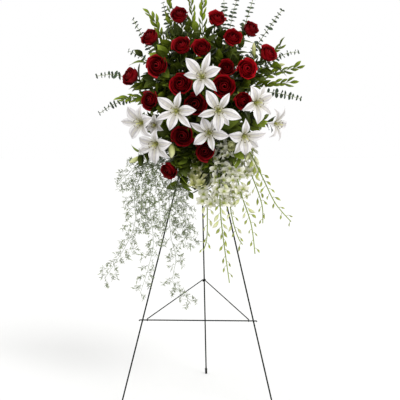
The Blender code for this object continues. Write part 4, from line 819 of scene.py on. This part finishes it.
for number, (lily, matrix) in enumerate(zip(LILIES, lily_frames), 1):
    chance = random.Random(200 + number)
    bloom = Piece()
    length, angles, shares = lily[5:]
    for i, (angle, share) in enumerate(zip(angles, shares)):
        inner = i % 2 == 0
        turned = matrix @ Matrix.Rotation(math.radians(angle), 4, "Z")
        widths = np.array(INNER_WIDTHS if inner else OUTER_WIDTHS) * LILY_BREADTHS.get(number, 1)
        surface = lily_tepal(length, widths, 0.0 if inner else 0.05, share, chance)
        bloom.sheet(surface, 18, 12, chance.random(), white_tepal, turned)
    stamens(bloom, matrix, length, chance)
    pistil = [matrix @ Vector((0.01 * length * i, 0, length * (0.06 + 0.10 * i))) for i in range(7)]
    bloom.stem(pistil, (0.0012, 0.0010, 0.0010, 0.0020), 6, 0.8, filament)
    ovary = matrix @ Vector((0, 0, -0.001)), matrix @ Vector((0, 0, length * 0.16))
    bloom.spindle(*ovary, (0.0024, 0.0032, 0.0036), 8, 0.3, filament)
    bloom.make(f"lily_bloom_{number}", [f"lily_{number}"], "white_petal")

# %% [markdown]
# ## Broad leaves, rose stems and lily buds
# Behind the blooms the rose and lily stems run back to the foam. Their leaves fill the space between the
# flowers and hide the block. A leaf is left out where it would cross a bloom. Under each rose are five
# green sepals on a small round hip. A particle system could scatter the leaves, but the export drops
# it, and it doesn't look for room. Here each leaf tries a few places and stays where it is clear.

# %% A leaf that looks for room
BROAD_OUTLINE = (0.0, 0.55, 0.92, 1.0, 0.84, 0.50, 0.02)
NARROW_OUTLINE = (0.0, 0.50, 0.86, 1.0, 0.90, 0.58, 0.02)
TRAY_LOW, TRAY_HIGH = (-0.122, -0.152, 1.050), (0.122, -0.062, 1.195)  # two corners, with some room
CLEARANCE = 0.002


def leaf_surface(length, width, outline, arch, fold, wave, phase):
    """A leaf along Z with its upper face towards Y."""

    def surface(along, across):
        half = curve_through(outline, along) * width / 2
        lift = arch * length * np.sin(math.pi * along * 0.9) + fold * half * np.abs(across)
        lift = lift + wave * width * np.sin(7 * along + phase + across) * across**2
        return np.stack([half * across, lift, along * length], -1)

    return surface


def has_room(points, margin=CLEARANCE):
    """Whether the points are clear of the blooms and of the tray."""
    points = np.array([tuple(point) for point in points])
    gaps = np.linalg.norm(points[:, None] - ball_places, axis=2) - ball_sizes
    in_tray = ((points > TRAY_LOW) & (points < TRAY_HIGH)).all(1)
    return gaps.min() > margin and not in_tray.any()


def grow_leaf(
    piece, foot, heading, about, length, width, chance, finish,
    outline=BROAD_OUTLINE, grid=(8, 6), shade=None,
):
    """A leaf where it has room, and whether it had. It lies across about, the way frame_on reads it."""
    matrix = frame_on(foot, heading, about)
    if not has_room([matrix @ Vector((0, 0.04 * length, share * length)) for share in (0.35, 0.65, 0.95)]):
        return False
    bent = chance.uniform(0.02, 0.16), chance.uniform(0.10, 0.35), chance.uniform(0.01, 0.05)
    surface = leaf_surface(length, width, outline, *bent, chance.uniform(0, math.tau))
    tone = chance.random() if shade is None else 0.7 * shade + 0.3 * chance.random()
    piece.sheet(surface, *grid, tone, finish, matrix)
    return True


print("a leaf's outline has", len(BROAD_OUTLINE), "widths from foot to tip")

# %% Stalks, hips and a cream bloom
SEPALS, CREAM_PETALS = 5, 13


def side_twig(piece, ways, foot):
    """The thin stalk that carries a single leaf, from the nearest stem."""
    starts = [along_way(way, share)[0] for way in ways for share in np.linspace(0.2, 0.96, 20)]
    start = min(starts, key=lambda place: (place - foot).length)
    bow = Vector((0, 0, 0.15 * (foot - start).length))
    piece.stem([start, start.lerp(foot, 0.5) + bow, foot], 0.0008, 5, 0.5, stem_green)


def rose_underside(piece, matrix, radius, chance):
    """The hip and its five sepals."""
    hip = (0.0030, 0.0052, 0.0062, 0.0058, radius * 0.16)
    piece.spindle(matrix @ Vector((0, 0, -0.012)), matrix @ Vector((0, 0, 0.002)), hip, 10, 0.5, stem_green)
    for i in range(SEPALS):
        turned = matrix @ Matrix.Rotation(math.tau * i / SEPALS + chance.uniform(-0.2, 0.2), 4, "Z")
        heading = turned.to_3x3() @ Vector((1, 0, chance.uniform(-0.6, 0.2)))
        seat = frame_on(turned @ Vector((0.004, 0, -0.001)), heading, turned.to_3x3() @ Vector((0, 0, 1)))
        surface = leaf_surface(radius * 0.62, 0.009, NARROW_OUTLINE, -0.12, 0.3, 0.0, 0.0)
        piece.sheet(surface, 6, 4, chance.random(), broad_leaf, seat)


def cream_rose(piece, foot, tip, radius, chance):
    """The one cream bloom, still half closed, low on the right."""
    matrix = frame_on(foot.lerp(tip, 0.45), tip - foot)
    for i in range(CREAM_PETALS):
        petal = rose_petal(radius * 1.2, 0.55 * i / (CREAM_PETALS - 1), 1.0, chance)
        turned = matrix @ Matrix.Rotation(i * GOLDEN_TURN, 4, "Z")
        piece.sheet(petal, 8, 8, chance.random(), cream_bud, turned)
    hip = (0.002, 0.005, radius * 0.5, radius * 0.3)
    piece.spindle(foot, foot.lerp(tip, 0.7), hip, 10, 0.5, stem_green)


def lily_bud(piece, foot, tip, radius, chance):
    swell = (radius * 0.35, radius * 0.85, radius, radius * 0.92, radius * 0.25)
    piece.spindle(foot, tip, swell, 12, chance.random(), cream_bud, 0.02)


print("a hip has", SEPALS, "sepals, and the cream bloom", CREAM_PETALS, "petals")

# %% Shoots and single leaves
SHOOTS = 50
LOW_SHOOTS = (
    # ends of the shoots that hang under the blooms, as (x, z)
    (-0.100, 0.955), (-0.075, 0.915), (-0.045, 0.940), (-0.085, 0.885), (-0.060, 0.865), (-0.030, 0.985),
    (-0.010, 0.960), (0.030, 0.925), (0.055, 0.890), (0.085, 0.955), (0.105, 0.905), (0.135, 0.975),
    (0.130, 0.930),
)
BACK_SHOOTS = (
    # and of those behind the orchids
    (-0.005, 0.885), (0.025, 0.860), (0.050, 0.905), (0.075, 0.935), (0.090, 0.885), (0.120, 0.905),
    (0.150, 0.950),
)
SINGLE_LEAVES = {
    # foot, the leaf's way as (x, z), length, finish: leaves that show between the blooms
    "left": (
        ((-0.090, -0.205, 1.110), (-0.8, -0.45), 0.060, young_leaf),
        ((-0.120, -0.140, 1.370), (-0.6, 0.80), 0.066, young_leaf),
        ((-0.125, -0.135, 1.385), (0.1, 1.0), 0.060, young_leaf),
        ((-0.135, -0.145, 1.365), (-1.0, 0.35), 0.062, young_leaf),
        ((-0.155, -0.135, 1.385), (-0.2, 1.0), 0.056, young_leaf),
        ((-0.100, -0.150, 1.360), (0.4, 0.90), 0.058, young_leaf),
        ((-0.098, -0.195, 1.092), (-1.0, -0.20), 0.074, broad_leaf),
        ((-0.100, -0.190, 1.070), (-1.0, 0.10), 0.066, broad_leaf),
        ((-0.060, -0.125, 1.350), (0.3, 1.0), 0.066, broad_leaf),
        ((-0.030, -0.120, 1.350), (0.2, 1.0), 0.068, broad_leaf),
        ((-0.012, -0.125, 1.330), (0.7, 0.8), 0.064, broad_leaf),
        ((-0.070, -0.190, 0.960), (0.5, -1.0), 0.066, broad_leaf),
        ((-0.158, -0.150, 1.302), (-1.0, -0.2), 0.062, broad_leaf),
        ((-0.162, -0.150, 1.280), (-0.9, -0.5), 0.060, broad_leaf),
        ((-0.075, -0.105, 1.451), (-0.25, 1.0), 0.062, broad_leaf),
        ((-0.073, -0.110, 1.455), (-0.9, 0.6), 0.052, broad_leaf),
        ((-0.013, -0.105, 1.431), (0.2, 1.0), 0.062, broad_leaf),
        ((-0.008, -0.100, 1.471), (-0.15, 1.0), 0.052, young_leaf),
        ((-0.220, -0.105, 1.378), (-0.8, 0.6), 0.046, broad_leaf),
    ),
    "right": (
        ((0.085, -0.235, 1.100), (1.0, 0.25), 0.085, broad_leaf),
        ((0.105, -0.225, 1.125), (1.0, -0.25), 0.070, broad_leaf),
        ((0.110, -0.215, 1.085), (1.0, 0.05), 0.075, broad_leaf),
        ((0.215, -0.215, 1.125), (0.8, -0.45), 0.060, young_leaf),
        ((0.225, -0.205, 1.105), (1.0, 0.20), 0.055, young_leaf),
        ((0.140, -0.215, 1.010), (0.7, -0.60), 0.060, young_leaf),
        ((0.160, -0.215, 0.990), (-0.2, -1.0), 0.055, young_leaf),
        ((0.165, -0.185, 1.160), (0.6, -0.80), 0.072, broad_leaf),
        ((0.215, -0.185, 1.160), (-0.2, -1.0), 0.072, broad_leaf),
        ((0.100, -0.195, 1.065), (1.0, -0.10), 0.066, broad_leaf),
        ((0.190, -0.190, 1.130), (0.9, -0.50), 0.066, broad_leaf),
        ((0.044, -0.125, 1.350), (1.0, 0.6), 0.066, broad_leaf),
        ((0.085, -0.125, 1.360), (0.9, 0.6), 0.066, broad_leaf),
        ((0.125, -0.130, 1.340), (0.8, 0.9), 0.064, broad_leaf),
        ((0.120, -0.190, 1.110), (1.0, -0.25), 0.072, broad_leaf),
        ((0.130, -0.190, 1.090), (1.0, -0.30), 0.072, broad_leaf),
        ((0.146, -0.115, 1.352), (0.8, 0.6), 0.046, broad_leaf),
        ((0.159, -0.115, 1.405), (0.6, 0.8), 0.044, broad_leaf),
        ((0.205, -0.120, 1.358), (0.9, 0.4), 0.054, broad_leaf),
        ((0.194, -0.200, 1.106), (0.9, -0.4), 0.058, young_leaf),
    ),
    "low": (
        ((-0.035, -0.185, 0.846), (0.5, -0.8), 0.036, broad_leaf),
    ),
}
SPRAY_MIDDLE = Vector((0, -0.060, 1.210))
OVAL_MIDDLE, OVAL_WIDE, OVAL_HIGH = 1.245, 0.250, 0.275  # the outline that the shoots fill
OVAL_FRONT, OVAL_ROUNDING = -0.215, 0.085  # its depth in the middle, and how far its rim lies back
LOW_DEPTH, BACK_DEPTH = -0.190, -0.115


def shoot_tips(bunch):
    """Ends of the leafy shoots of a bunch: spread evenly over an oval, lower down for the low bunch."""
    if bunch == "low":
        rows = (LOW_DEPTH, LOW_SHOOTS), (BACK_DEPTH, BACK_SHOOTS)
        return [Vector((x, depth, z)) for depth, shoots in rows for x, z in shoots]
    tips = []
    for i in range(SHOOTS):
        out, turn = math.sqrt((i + 0.5) / SHOOTS), i * GOLDEN_TURN
        x, z = OVAL_WIDE * out * math.cos(turn), OVAL_MIDDLE + OVAL_HIGH * out * math.sin(turn)
        if (x > 0) == (bunch == "right"):
            tips.append(Vector((x, OVAL_FRONT + OVAL_ROUNDING * out, z)))
    return tips


for bunch, leaves in SINGLE_LEAVES.items():
    print(bunch, "has", len(shoot_tips(bunch)), "shoots and", len(leaves), "single leaves")

# %% Three bunches of stems
LEAF_STEP, LEAF_TRIES = 0.015, 8
LEAF_LENGTHS, LEAF_BREADTH, SINGLE_BREADTH = (0.050, 0.078), 0.52, 0.56  # breadths in lengths
YOUNG_SHARE = 0.22


def stem_ways(stems, bunch, chance):
    """Draws a bunch's stems with what they carry behind the blooms, and gives their ways."""
    ways = []
    for number in ROSE_BUNCHES[bunch]:
        matrix = rose_frames[number - 1]
        ways.append(bloom_stem(bunch, matrix @ ROSE_FOOT, matrix.to_3x3().col[2]))
        stems.stem(ways[-1], (0.0012, 0.0028), 8, 0.7, stem_green)
        rose_underside(stems, matrix, ROSES[number - 1][5], chance)
    for number in LILY_BUNCHES[bunch]:
        matrix = lily_frames[number - 1]
        ways.append(bloom_stem(bunch, matrix @ Vector((0, 0, -0.0003)), matrix.to_3x3().col[2]))
        stems.stem(ways[-1], (0.0012, 0.0030), 8, chance.random(), stem_green)
    for foot, tip, radius in LILY_BUDS[bunch]:
        foot, tip = Vector(foot), Vector(tip)
        bud = cream_rose if radius > 0.015 else lily_bud
        bud(stems, foot, tip, radius, chance)
        heading = (tip - foot).normalized()
        ways.append(bloom_stem(bunch, foot + heading * 0.006, heading, 0.3))
        stems.stem(ways[-1], (0.0012, 0.0018), 6, chance.random(), stem_green)
    for tip in shoot_tips(bunch):
        ways.append(bloom_stem(bunch, tip, (tip - HUBS[bunch][0]).normalized(), 0.3))
        stems.stem(ways[-1], (0.0014, 0.0012, 0.0008), 5, chance.random(), stem_green)
    return ways


def leaf_somewhere(stems, way, spot, spots, chance):
    """Tries places in one of the way's spots until a leaf has room, and gives how many grew."""
    for _ in range(LEAF_TRIES):
        foot, heading = along_way(way, (spot + chance.random()) / spots * 0.90 + 0.08)
        turn = chance.uniform(0, math.tau)
        out = frame_on(foot, heading).to_3x3() @ Vector((math.cos(turn), math.sin(turn), 0))
        toward = out + heading * chance.uniform(0.2, 1.0)
        size = chance.uniform(*LEAF_LENGTHS)
        away = (foot - SPRAY_MIDDLE).normalized() + (heading - out) * 0.35
        finish = young_leaf if chance.random() < YOUNG_SHARE else broad_leaf
        if grow_leaf(stems, foot, toward, away, size, size * LEAF_BREADTH, chance, finish):
            return 1
    return 0


for side, bunch in enumerate(("left", "right", "low")):
    chance = random.Random(300 + side)
    stems = Piece()
    stems.tied_foot(bunch, 12, stem_green)
    ways = stem_ways(stems, bunch, chance)
    leaves = 0
    for way in ways:
        spots = max(4, int(way_length(way) / LEAF_STEP))
        leaves += sum(leaf_somewhere(stems, way, spot, spots, chance) for spot in range(spots))
    for foot, (x, z), size, finish in SINGLE_LEAVES[bunch]:
        foot, toward = Vector(foot), Vector((x, -0.25, z))
        forward = Vector((0, -1, 0.3))
        if grow_leaf(stems, foot, toward, forward, size, size * SINGLE_BREADTH, chance, finish):
            side_twig(stems, ways, foot)
            leaves += 1
    print(bunch, "has", leaves, "leaves")
    stems.make(f"flower_stems_{bunch}", [f"stems_{bunch}"], "dark_leaf")

# %% [markdown]
# ## Eucalyptus and ruscus
# These make the pointed outline. The eucalyptus carries small stiff leaves in pairs, each pair turned
# from the last, so from the front many are seen edge on, like dashes. The ruscus has bright pointed
# leaves that lie close to the stem and overlap. An array along a curve would space them evenly. A loop
# with an uneven step keeps them as they grow.

# %% Eucalyptus and ruscus
ROUND_OUTLINE = (0.50, 0.88, 1.0, 0.94, 0.66, 0.03)
SIDE_STEM_RADII = (0.0018, 0.0015, 0.0009)
PAIR_STEP, RUSCUS_STEP = 0.015, 0.0125
PAIRED_SHARE, RUSCUS_SHARE = 0.72, 0.75  # of a stem that carries leaves
SMALLEST_PAIR, PAIR_GROWTH, LARGEST_PAIR = 0.0120, 0.0015, 0.0190  # leaf lengths from the tip down
RUSCUS_LENGTHS = 0.034, 0.047


def eucalyptus_stem(piece, way, chance):
    length = way_length(way)
    piece.stem(way, SIDE_STEM_RADII, 6, chance.random(), stem_green)
    drop = 0.002
    while drop < length * PAIRED_SHARE:
        spot, heading = along_way(way, 1 - drop / length)
        i = int(drop / PAIR_STEP)
        drop += chance.uniform(0.013, 0.020)
        reach = min(SMALLEST_PAIR + PAIR_GROWTH * i, LARGEST_PAIR) * chance.uniform(0.85, 1.15)
        across = frame_on(spot, heading, AHEAD).to_3x3()
        angle = (0.35 if i % 2 else -0.35) + chance.uniform(-0.55, 0.55)
        if not has_room([spot], reach * 0.6):
            continue
        for turn in (angle, angle + math.pi):
            out = across @ Vector((math.cos(turn), math.sin(turn), 0))
            normal = heading + Vector((0, -chance.uniform(0.55, 1.60), 0))
            width = reach * chance.uniform(0.70, 0.95)
            surface = leaf_surface(reach, width, ROUND_OUTLINE, 0.06, 0.25, 0.03, 0.0)
            seat = frame_on(spot, out + heading * chance.uniform(-0.1, 0.35), normal)
            piece.sheet(surface, 5, 4, chance.random(), grey_leaf, seat)


def ruscus_stem(piece, way, chance):
    length = way_length(way)
    piece.stem(way, SIDE_STEM_RADII, 6, chance.random(), stem_green)
    shade = chance.random()
    for i in range(int(length * RUSCUS_SHARE / RUSCUS_STEP)):
        spot, heading = along_way(way, 1 - (0.001 + RUSCUS_STEP * i) / length)
        across = heading.cross(Vector((0, 1, 0))).normalized() * (1 if i % 2 else -1)
        toward = heading + across * (0.0 if i == 0 else chance.uniform(0.10, 0.55))
        toward += Vector((0, chance.uniform(-0.35, 0.35), 0))
        size = chance.uniform(*RUSCUS_LENGTHS)
        normal = AHEAD + across * chance.uniform(-0.3, 1.8)
        width = size * chance.uniform(0.28, 0.40)
        leaf = (spot, toward, normal, size, width, chance, bright_leaf)
        grow_leaf(piece, *leaf, outline=NARROW_OUTLINE, grid=(7, 4), shade=shade)


PLANTS = ("eucalyptus", eucalyptus_stem, "grey_leaf"), ("ruscus", ruscus_stem, "bright_leaf")
for plant, grow, slot in PLANTS:
    for side in ("left", "right"):
        bunch = f"{plant}_{side}"
        chance = random.Random(f"{bunch} leaves")
        piece = Piece()
        piece.tied_foot(bunch, 10, stem_green)
        for start, tip in SIDE_STEMS[bunch]:
            grow(piece, side_stem(bunch, start, tip), chance)
        piece.make(f"{plant}_stems_{side}", [bunch], slot)

# %% [markdown]
# ## Orchids
# Each dendrobium spray opens from its foot down: white florets first, then plump lime buds that get
# smaller towards the tip. A floret has three narrow sepals behind two wide petals, and a small lip. One
# floret could be used again and again, but the export drops instances. Each is drawn for itself, so
# each can open and turn its own way.

# %% A floret and a bud
SEPAL_OUTLINE = (0.10, 0.62, 0.95, 0.95, 0.60, 0.04)
PETAL_OUTLINE = (0.08, 0.50, 0.92, 1.0, 0.78, 0.10)
BUD_RADIUS, BUD_SHRINKING = 0.0072, 0.0030


def floret(piece, seat, radius, chance, finish):
    """An open floret in the plane of its seat, facing along Z; X points back to its stalk."""

    def lobe(angle, length, width, outline, lift, cup):
        def surface(along, across):
            half = curve_through(outline, along) * width * radius / 2
            hollow = cup * along**2 * (0.4 + across**2) - 0.05 * (1 - np.abs(across)) * along
            return np.stack([along * length * radius, half * across, (lift * along + hollow) * radius], -1)

        turned = seat @ Matrix.Rotation(math.radians(angle), 4, "Z")
        piece.sheet(surface, 6, 4, chance.random(), finish, turned)

    for angle in (180, 62, -62):
        lobe(angle + chance.uniform(-8, 8), 0.96, 0.46, SEPAL_OUTLINE, -0.05, chance.uniform(-0.2, 0.15))
    for angle in (118, -118):
        lobe(angle + chance.uniform(-8, 8), 1.0, 0.72, PETAL_OUTLINE, 0.10, chance.uniform(-0.15, 0.20))
    lobe(0, 0.55, 0.50, PETAL_OUTLINE, 0.55, -0.35)
    column = seat @ Vector((0, 0, 0)), seat @ Vector((-0.1 * radius, 0, 0.3 * radius))
    piece.spindle(*column, (0.0015, 0.0022, 0.0012), 6, 0.5, lime_bud)


def stalk(piece, start, end, radius):
    """A short stalk that bows up a little in the middle."""
    piece.stem([start, start.lerp(end, 0.5) + Vector((0, 0, 0.002)), end], radius, 5, 0.6, lime_bud)


def orchid_bud(piece, spot, toward, late, chance, opening):
    """A bud on its stalk; late goes from 0 to 1 down the stem, where buds are younger and smaller."""
    neck = spot + toward * chance.uniform(0.006, 0.016)
    hang = toward * chance.uniform(0.0, 2.0) + Vector((0, 0, -1))
    size = (BUD_RADIUS - BUD_SHRINKING * late) * chance.uniform(0.62, 1.20) * (1.2 if opening else 1)
    tip = neck + hang.normalized() * size * chance.uniform(3.6, 4.8)
    stalk(piece, spot, neck, 0.0010)
    swell = (0.0008, size * 0.62, size * 0.84, size * 0.58, 0.0006)
    skin = opening_bud if opening else lime_bud
    piece.spindle(neck, tip, swell, 8, chance.random(), skin, chance.uniform(-0.12, 0.12))


print("a floret has three sepals, two petals and a lip")

# %% Orchid sprays
BARE_FOOT, FLORET_STEP, FLORET_RADII = 0.045, 0.0122, (0.026, 0.031)
OPEN_PLACES, OPENING_PLACES = 2.7, 3.4  # places with open florets, and down to the last opening bud


def orchid_spray(piece, name, corners, depths, florets, petal, chance):
    way = hanging_way(name, corners, depths)
    length = way_length(way)
    piece.stem(way, (0.0026, 0.0024, 0.0019), 7, 0.5, orchid_stem)
    drop, number = BARE_FOOT, 0
    while drop < length - 0.004:
        spot, heading = along_way(way, drop / length)
        across = heading.cross(Vector((0, 1, 0))).normalized() * (1 if number % 2 else -1)
        toward = across + heading * chance.uniform(0.2, 0.9) + Vector((0, chance.uniform(-0.9, 0.4), 0))
        toward.normalize()
        if number < florets * OPEN_PLACES and number % 7 != 3:
            end = spot + toward * chance.uniform(0.014, 0.024)
            normal = facing(chance.uniform(-70, 70), chance.uniform(-55, 25))
            seat = frame_on(end, normal, normal.cross(spot - end).cross(normal).cross(normal))
            floret(piece, seat, chance.uniform(*FLORET_RADII), chance, petal)
            stalk(piece, spot, end, 0.0008)
            drop += FLORET_STEP
        else:
            late = min(1.0, (drop / length) ** 2)
            opening = number < florets * OPENING_PLACES and number % 3 != 0
            orchid_bud(piece, spot, toward, late, chance, opening)
            drop += chance.uniform(0.006, 0.013) + late * chance.uniform(0.006, 0.030)
        number += 1


for number, sprays in ORCHIDS.items():
    name = f"orchid_{number}"
    chance = random.Random(f"{name} florets")
    piece = Piece()
    piece.tied_foot(name, 8, lime_bud)
    for spray, petal in zip(sprays, (orchid_petal, young_orchid)):
        orchid_spray(piece, name, *spray, petal, chance)
    piece.make(f"orchid_spray_{number}", [name], "orchid")

# %% [markdown]
# ## Trailing fern
# The feathery trails are asparagus fern. Thin strands carry short twigs, and each twig carries tufts of
# needles. One needle is under a millimetre wide, so from a few steps away they make a soft grey haze.
# Hair curves are made for this, but the export drops them too. A needle is one flat pointed face here,
# so thousands of them stay light.

# %% Needles
NEEDLE_WIDTH = 0.0029  # drawn several times as wide as a real one, or it wouldn't show in the picture
WIDEST_AT = 0.45
TUFT_STEP = 0.010
TUFT_LENGTHS, BUSH_LENGTHS = (0.010, 0.021), (0.010, 0.020)


class Needles:
    """Flat pointed needles of one bunch, gathered first and drawn all at once."""

    def __init__(self, chance):
        self.chance, self.feet, self.headings, self.lengths = chance, [], [], []

    def tuft(self, foot, ahead, fewest, most, scatter, spread, reach):
        """A few needles from about one place; spread is how far they turn from the way ahead."""
        for _ in range(self.chance.integers(fewest, most)):
            self.feet.append(np.array(foot) + self.chance.normal(size=3) * scatter)
            self.headings.append(np.array(ahead) + self.chance.normal(size=3) * spread)
            self.lengths.append(self.chance.uniform(*reach))

    def along_twig(self, way, first):
        """Tufts down a twig, about a centimetre apart."""
        length = way_length(way)
        drop = first
        while drop < length + 0.001:
            foot, ahead = along_way(way, min(drop / length, 1))
            self.tuft(foot, ahead * 0.9, 2, 6, 0.0008, 0.75, TUFT_LENGTHS)
            drop += TUFT_STEP * self.chance.uniform(0.7, 1.6)

    def draw(self, piece, keep_clear, radius):
        """Draws them, but for those in front of a bloom's middle or behind it."""
        feet, headings, lengths = (np.array(rows) for rows in (self.feet, self.headings, self.lengths))
        clear = np.hypot(*(feet - np.array(keep_clear))[:, (0, 2)].T) > radius
        feet, headings, lengths = feet[clear], headings[clear], lengths[clear]
        headings /= np.linalg.norm(headings, axis=1, keepdims=True)
        side = np.cross(headings, self.chance.normal(size=feet.shape))
        side *= NEEDLE_WIDTH / 2 / np.linalg.norm(side, axis=1, keepdims=True)
        reach = headings * lengths[:, None]
        middles = feet + reach * WIDEST_AT
        points = np.stack([feet, middles + side, feet + reach, middles - side], 1)
        along = np.tile([0.0, WIDEST_AT, 1.0, WIDEST_AT], (len(feet), 1))
        tones = np.repeat(self.chance.random(len(feet))[:, None], 4, axis=1)
        piece.add(points, np.arange(4 * len(feet)).reshape(-1, 4), along, 0 * along, tones, fern_green)


print("needles are drawn", NEEDLE_WIDTH / MILLIMETRE, "mm wide")

# %% Fern trails
BARE_STRAND = 0.055
TWIG_LENGTHS, SMALL_TWIG_LENGTHS = (0.028, 0.062), (0.012, 0.024)
BUSHY_SHARE = 0.85
LOWEST_ROSE = ROSES[-1]


def fern_twig(piece, needles, spot, twig, chance):
    """A twig that curls down, with tufts along it, mostly a bushy end, and two small side twigs."""
    curl = Vector((0, 0, -0.25)) * twig.length
    way = [spot + twig * s + curl * s * s for s in (0, 0.35, 0.7, 1.0)]
    piece.stem(way, (0.0005, 0.0003), 4, 0.6, fern_stem)
    needles.along_twig(way, 0.008)
    if chance.random() < BUSHY_SHARE:
        ahead = np.array((way[-1] - way[-2]).normalized())
        needles.tuft(way[-1], ahead * 0.6, 5, 12, 0.0025, 0.9, BUSH_LENGTHS)
    for share in (0.35, 0.65):
        foot, ahead = along_way(way, share)
        turn = ahead.cross(Vector(chance.normal(size=3))).normalized()
        small = (ahead * 0.8 + turn).normalized() * chance.uniform(*SMALL_TWIG_LENGTHS)
        small_way = [foot, foot + small * 0.5, foot + small + Vector((0, 0, -0.002))]
        piece.stem(small_way, 0.0003, 3, 0.7, fern_stem)
        needles.along_twig(small_way, 0.005)


for place, strands in FERNS.items():
    name = f"fern_{place}"
    chance = np.random.default_rng(sum(map(ord, name)))
    piece, needles = Piece(), Needles(chance)
    piece.tied_foot(name, 8, fern_stem)
    for far, *corners in strands:
        way = hanging_way(name, corners, (FERN_NEAR, far))
        length = way_length(way)
        piece.stem(way, (0.0012, 0.0010, 0.0006), 5, 0.5, fern_stem)
        drop, side = BARE_STRAND, -1
        while drop < length - 0.006:
            spot, heading = along_way(way, drop / length)
            across = heading.cross(Vector((0, 1, 0))).normalized() * side
            twig = across * chance.uniform(0.4, 1.6) + heading * 0.6
            twig = (twig + Vector((0, chance.uniform(-0.8, 0.8), 0))).normalized()
            twig = twig * chance.uniform(*TWIG_LENGTHS) * (1.15 - 0.55 * drop / length)
            fern_twig(piece, needles, spot, twig, chance)
            drop += chance.uniform(0.6, 1.3) * min(0.022, 0.010 + 0.020 * drop)
            side = -side
    needles.draw(piece, LOWEST_ROSE[:3], LOWEST_ROSE[5] * 1.15)
    piece.make(f"fern_trails_{place}", [name], "fern")

# %% [markdown]
# ## Easel, tray and foam
# The easel is bent wire with a dark green coat, smooth to the touch. The tips are black rubber. The tray
# is thin green plastic, and wet foam is a crumbly dark green block full of tiny cells. They could be
# made again like the flowers, but their solids already have the true shape, so they only get a finish.

# %% A finish for what is made
SHARP_FROM = math.radians(55)


def made_surface(name, base, other, roughness, grain_mm, depth, blotch_mm=25.0, sheen=0.3):
    """A painted, moulded or foamed finish with slow changes of colour and a fine grain."""
    material = bpy.data.materials.new(name)
    material.use_nodes = True
    tree = material.node_tree
    add = partial(add_node, tree)
    place = add("TexCoord", out="Object")
    blotch = add("TexNoise", Vector=place, Scale=1 / (blotch_mm * MILLIMETRE), Detail=4, out="Fac")
    colour = add("ValToRGB", blotch, stops=[(0.35, base), (0.70, other)])
    grain = add("TexNoise", Vector=place, Scale=1 / (grain_mm * MILLIMETRE), Detail=2, out="Fac")
    bump = add("Bump", Strength=depth, Distance=MILLIMETRE, Height=grain)
    dull = add("Math", blotch, 0.2, roughness - 0.1, operation="MULTIPLY_ADD")
    shader = tree.nodes["Principled BSDF"]
    shader.inputs["Specular IOR Level"].default_value = sheen
    for value, socket in ((colour, "Base Color"), (dull, "Roughness"), (bump, "Normal")):
        tree.links.new(value, shader.inputs[socket])
    return material


print("edges stay sharp from", round(math.degrees(SHARP_FROM)), "degrees")

# %% Easel, tray and foam
# a dull coat takes the shine off the steel wire, and rubber is duller and softer at its edges
coated_wire = made_surface("coated_wire", "#050b09", "#0a1310", 0.60, grain_mm=1.2, depth=0.08, sheen=0.05)
black_rubber = made_surface("black_rubber", "#121212", "#1c1c1b", 0.75, grain_mm=0.8, depth=0.15)
# thin moulded plastic with an even satin skin, and foam whose open cells swallow the light
tray_plastic = made_surface("tray_plastic", "#1d4a24", "#245a2c", 0.40, grain_mm=3.0, depth=0.05)
wet_foam = made_surface("wet_foam", "#123c1a", "#1f5226", 0.92, grain_mm=1.0, depth=0.9, blotch_mm=12.0)
KEPT_SOLIDS = {
    coated_wire: (
        "leg_front_left", "leg_front_right", "leg_rear", "crossbar", "brace_left", "brace_right", "top_pin",
    ),
    black_rubber: ("tip_front_left", "tip_front_right", "tip_rear"),
    tray_plastic: ("foam_tray",),
    wet_foam: ("foam_block",),
}
for finish, names in KEPT_SOLIDS.items():
    for name in names:
        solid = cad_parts[name]
        for slot in solid.material_slots:
            slot.material = finish
        solid.data.shade_smooth()
        solid.data.set_sharp_from_angle(angle=SHARP_FROM)
    print(finish.name, "on", ", ".join(names))
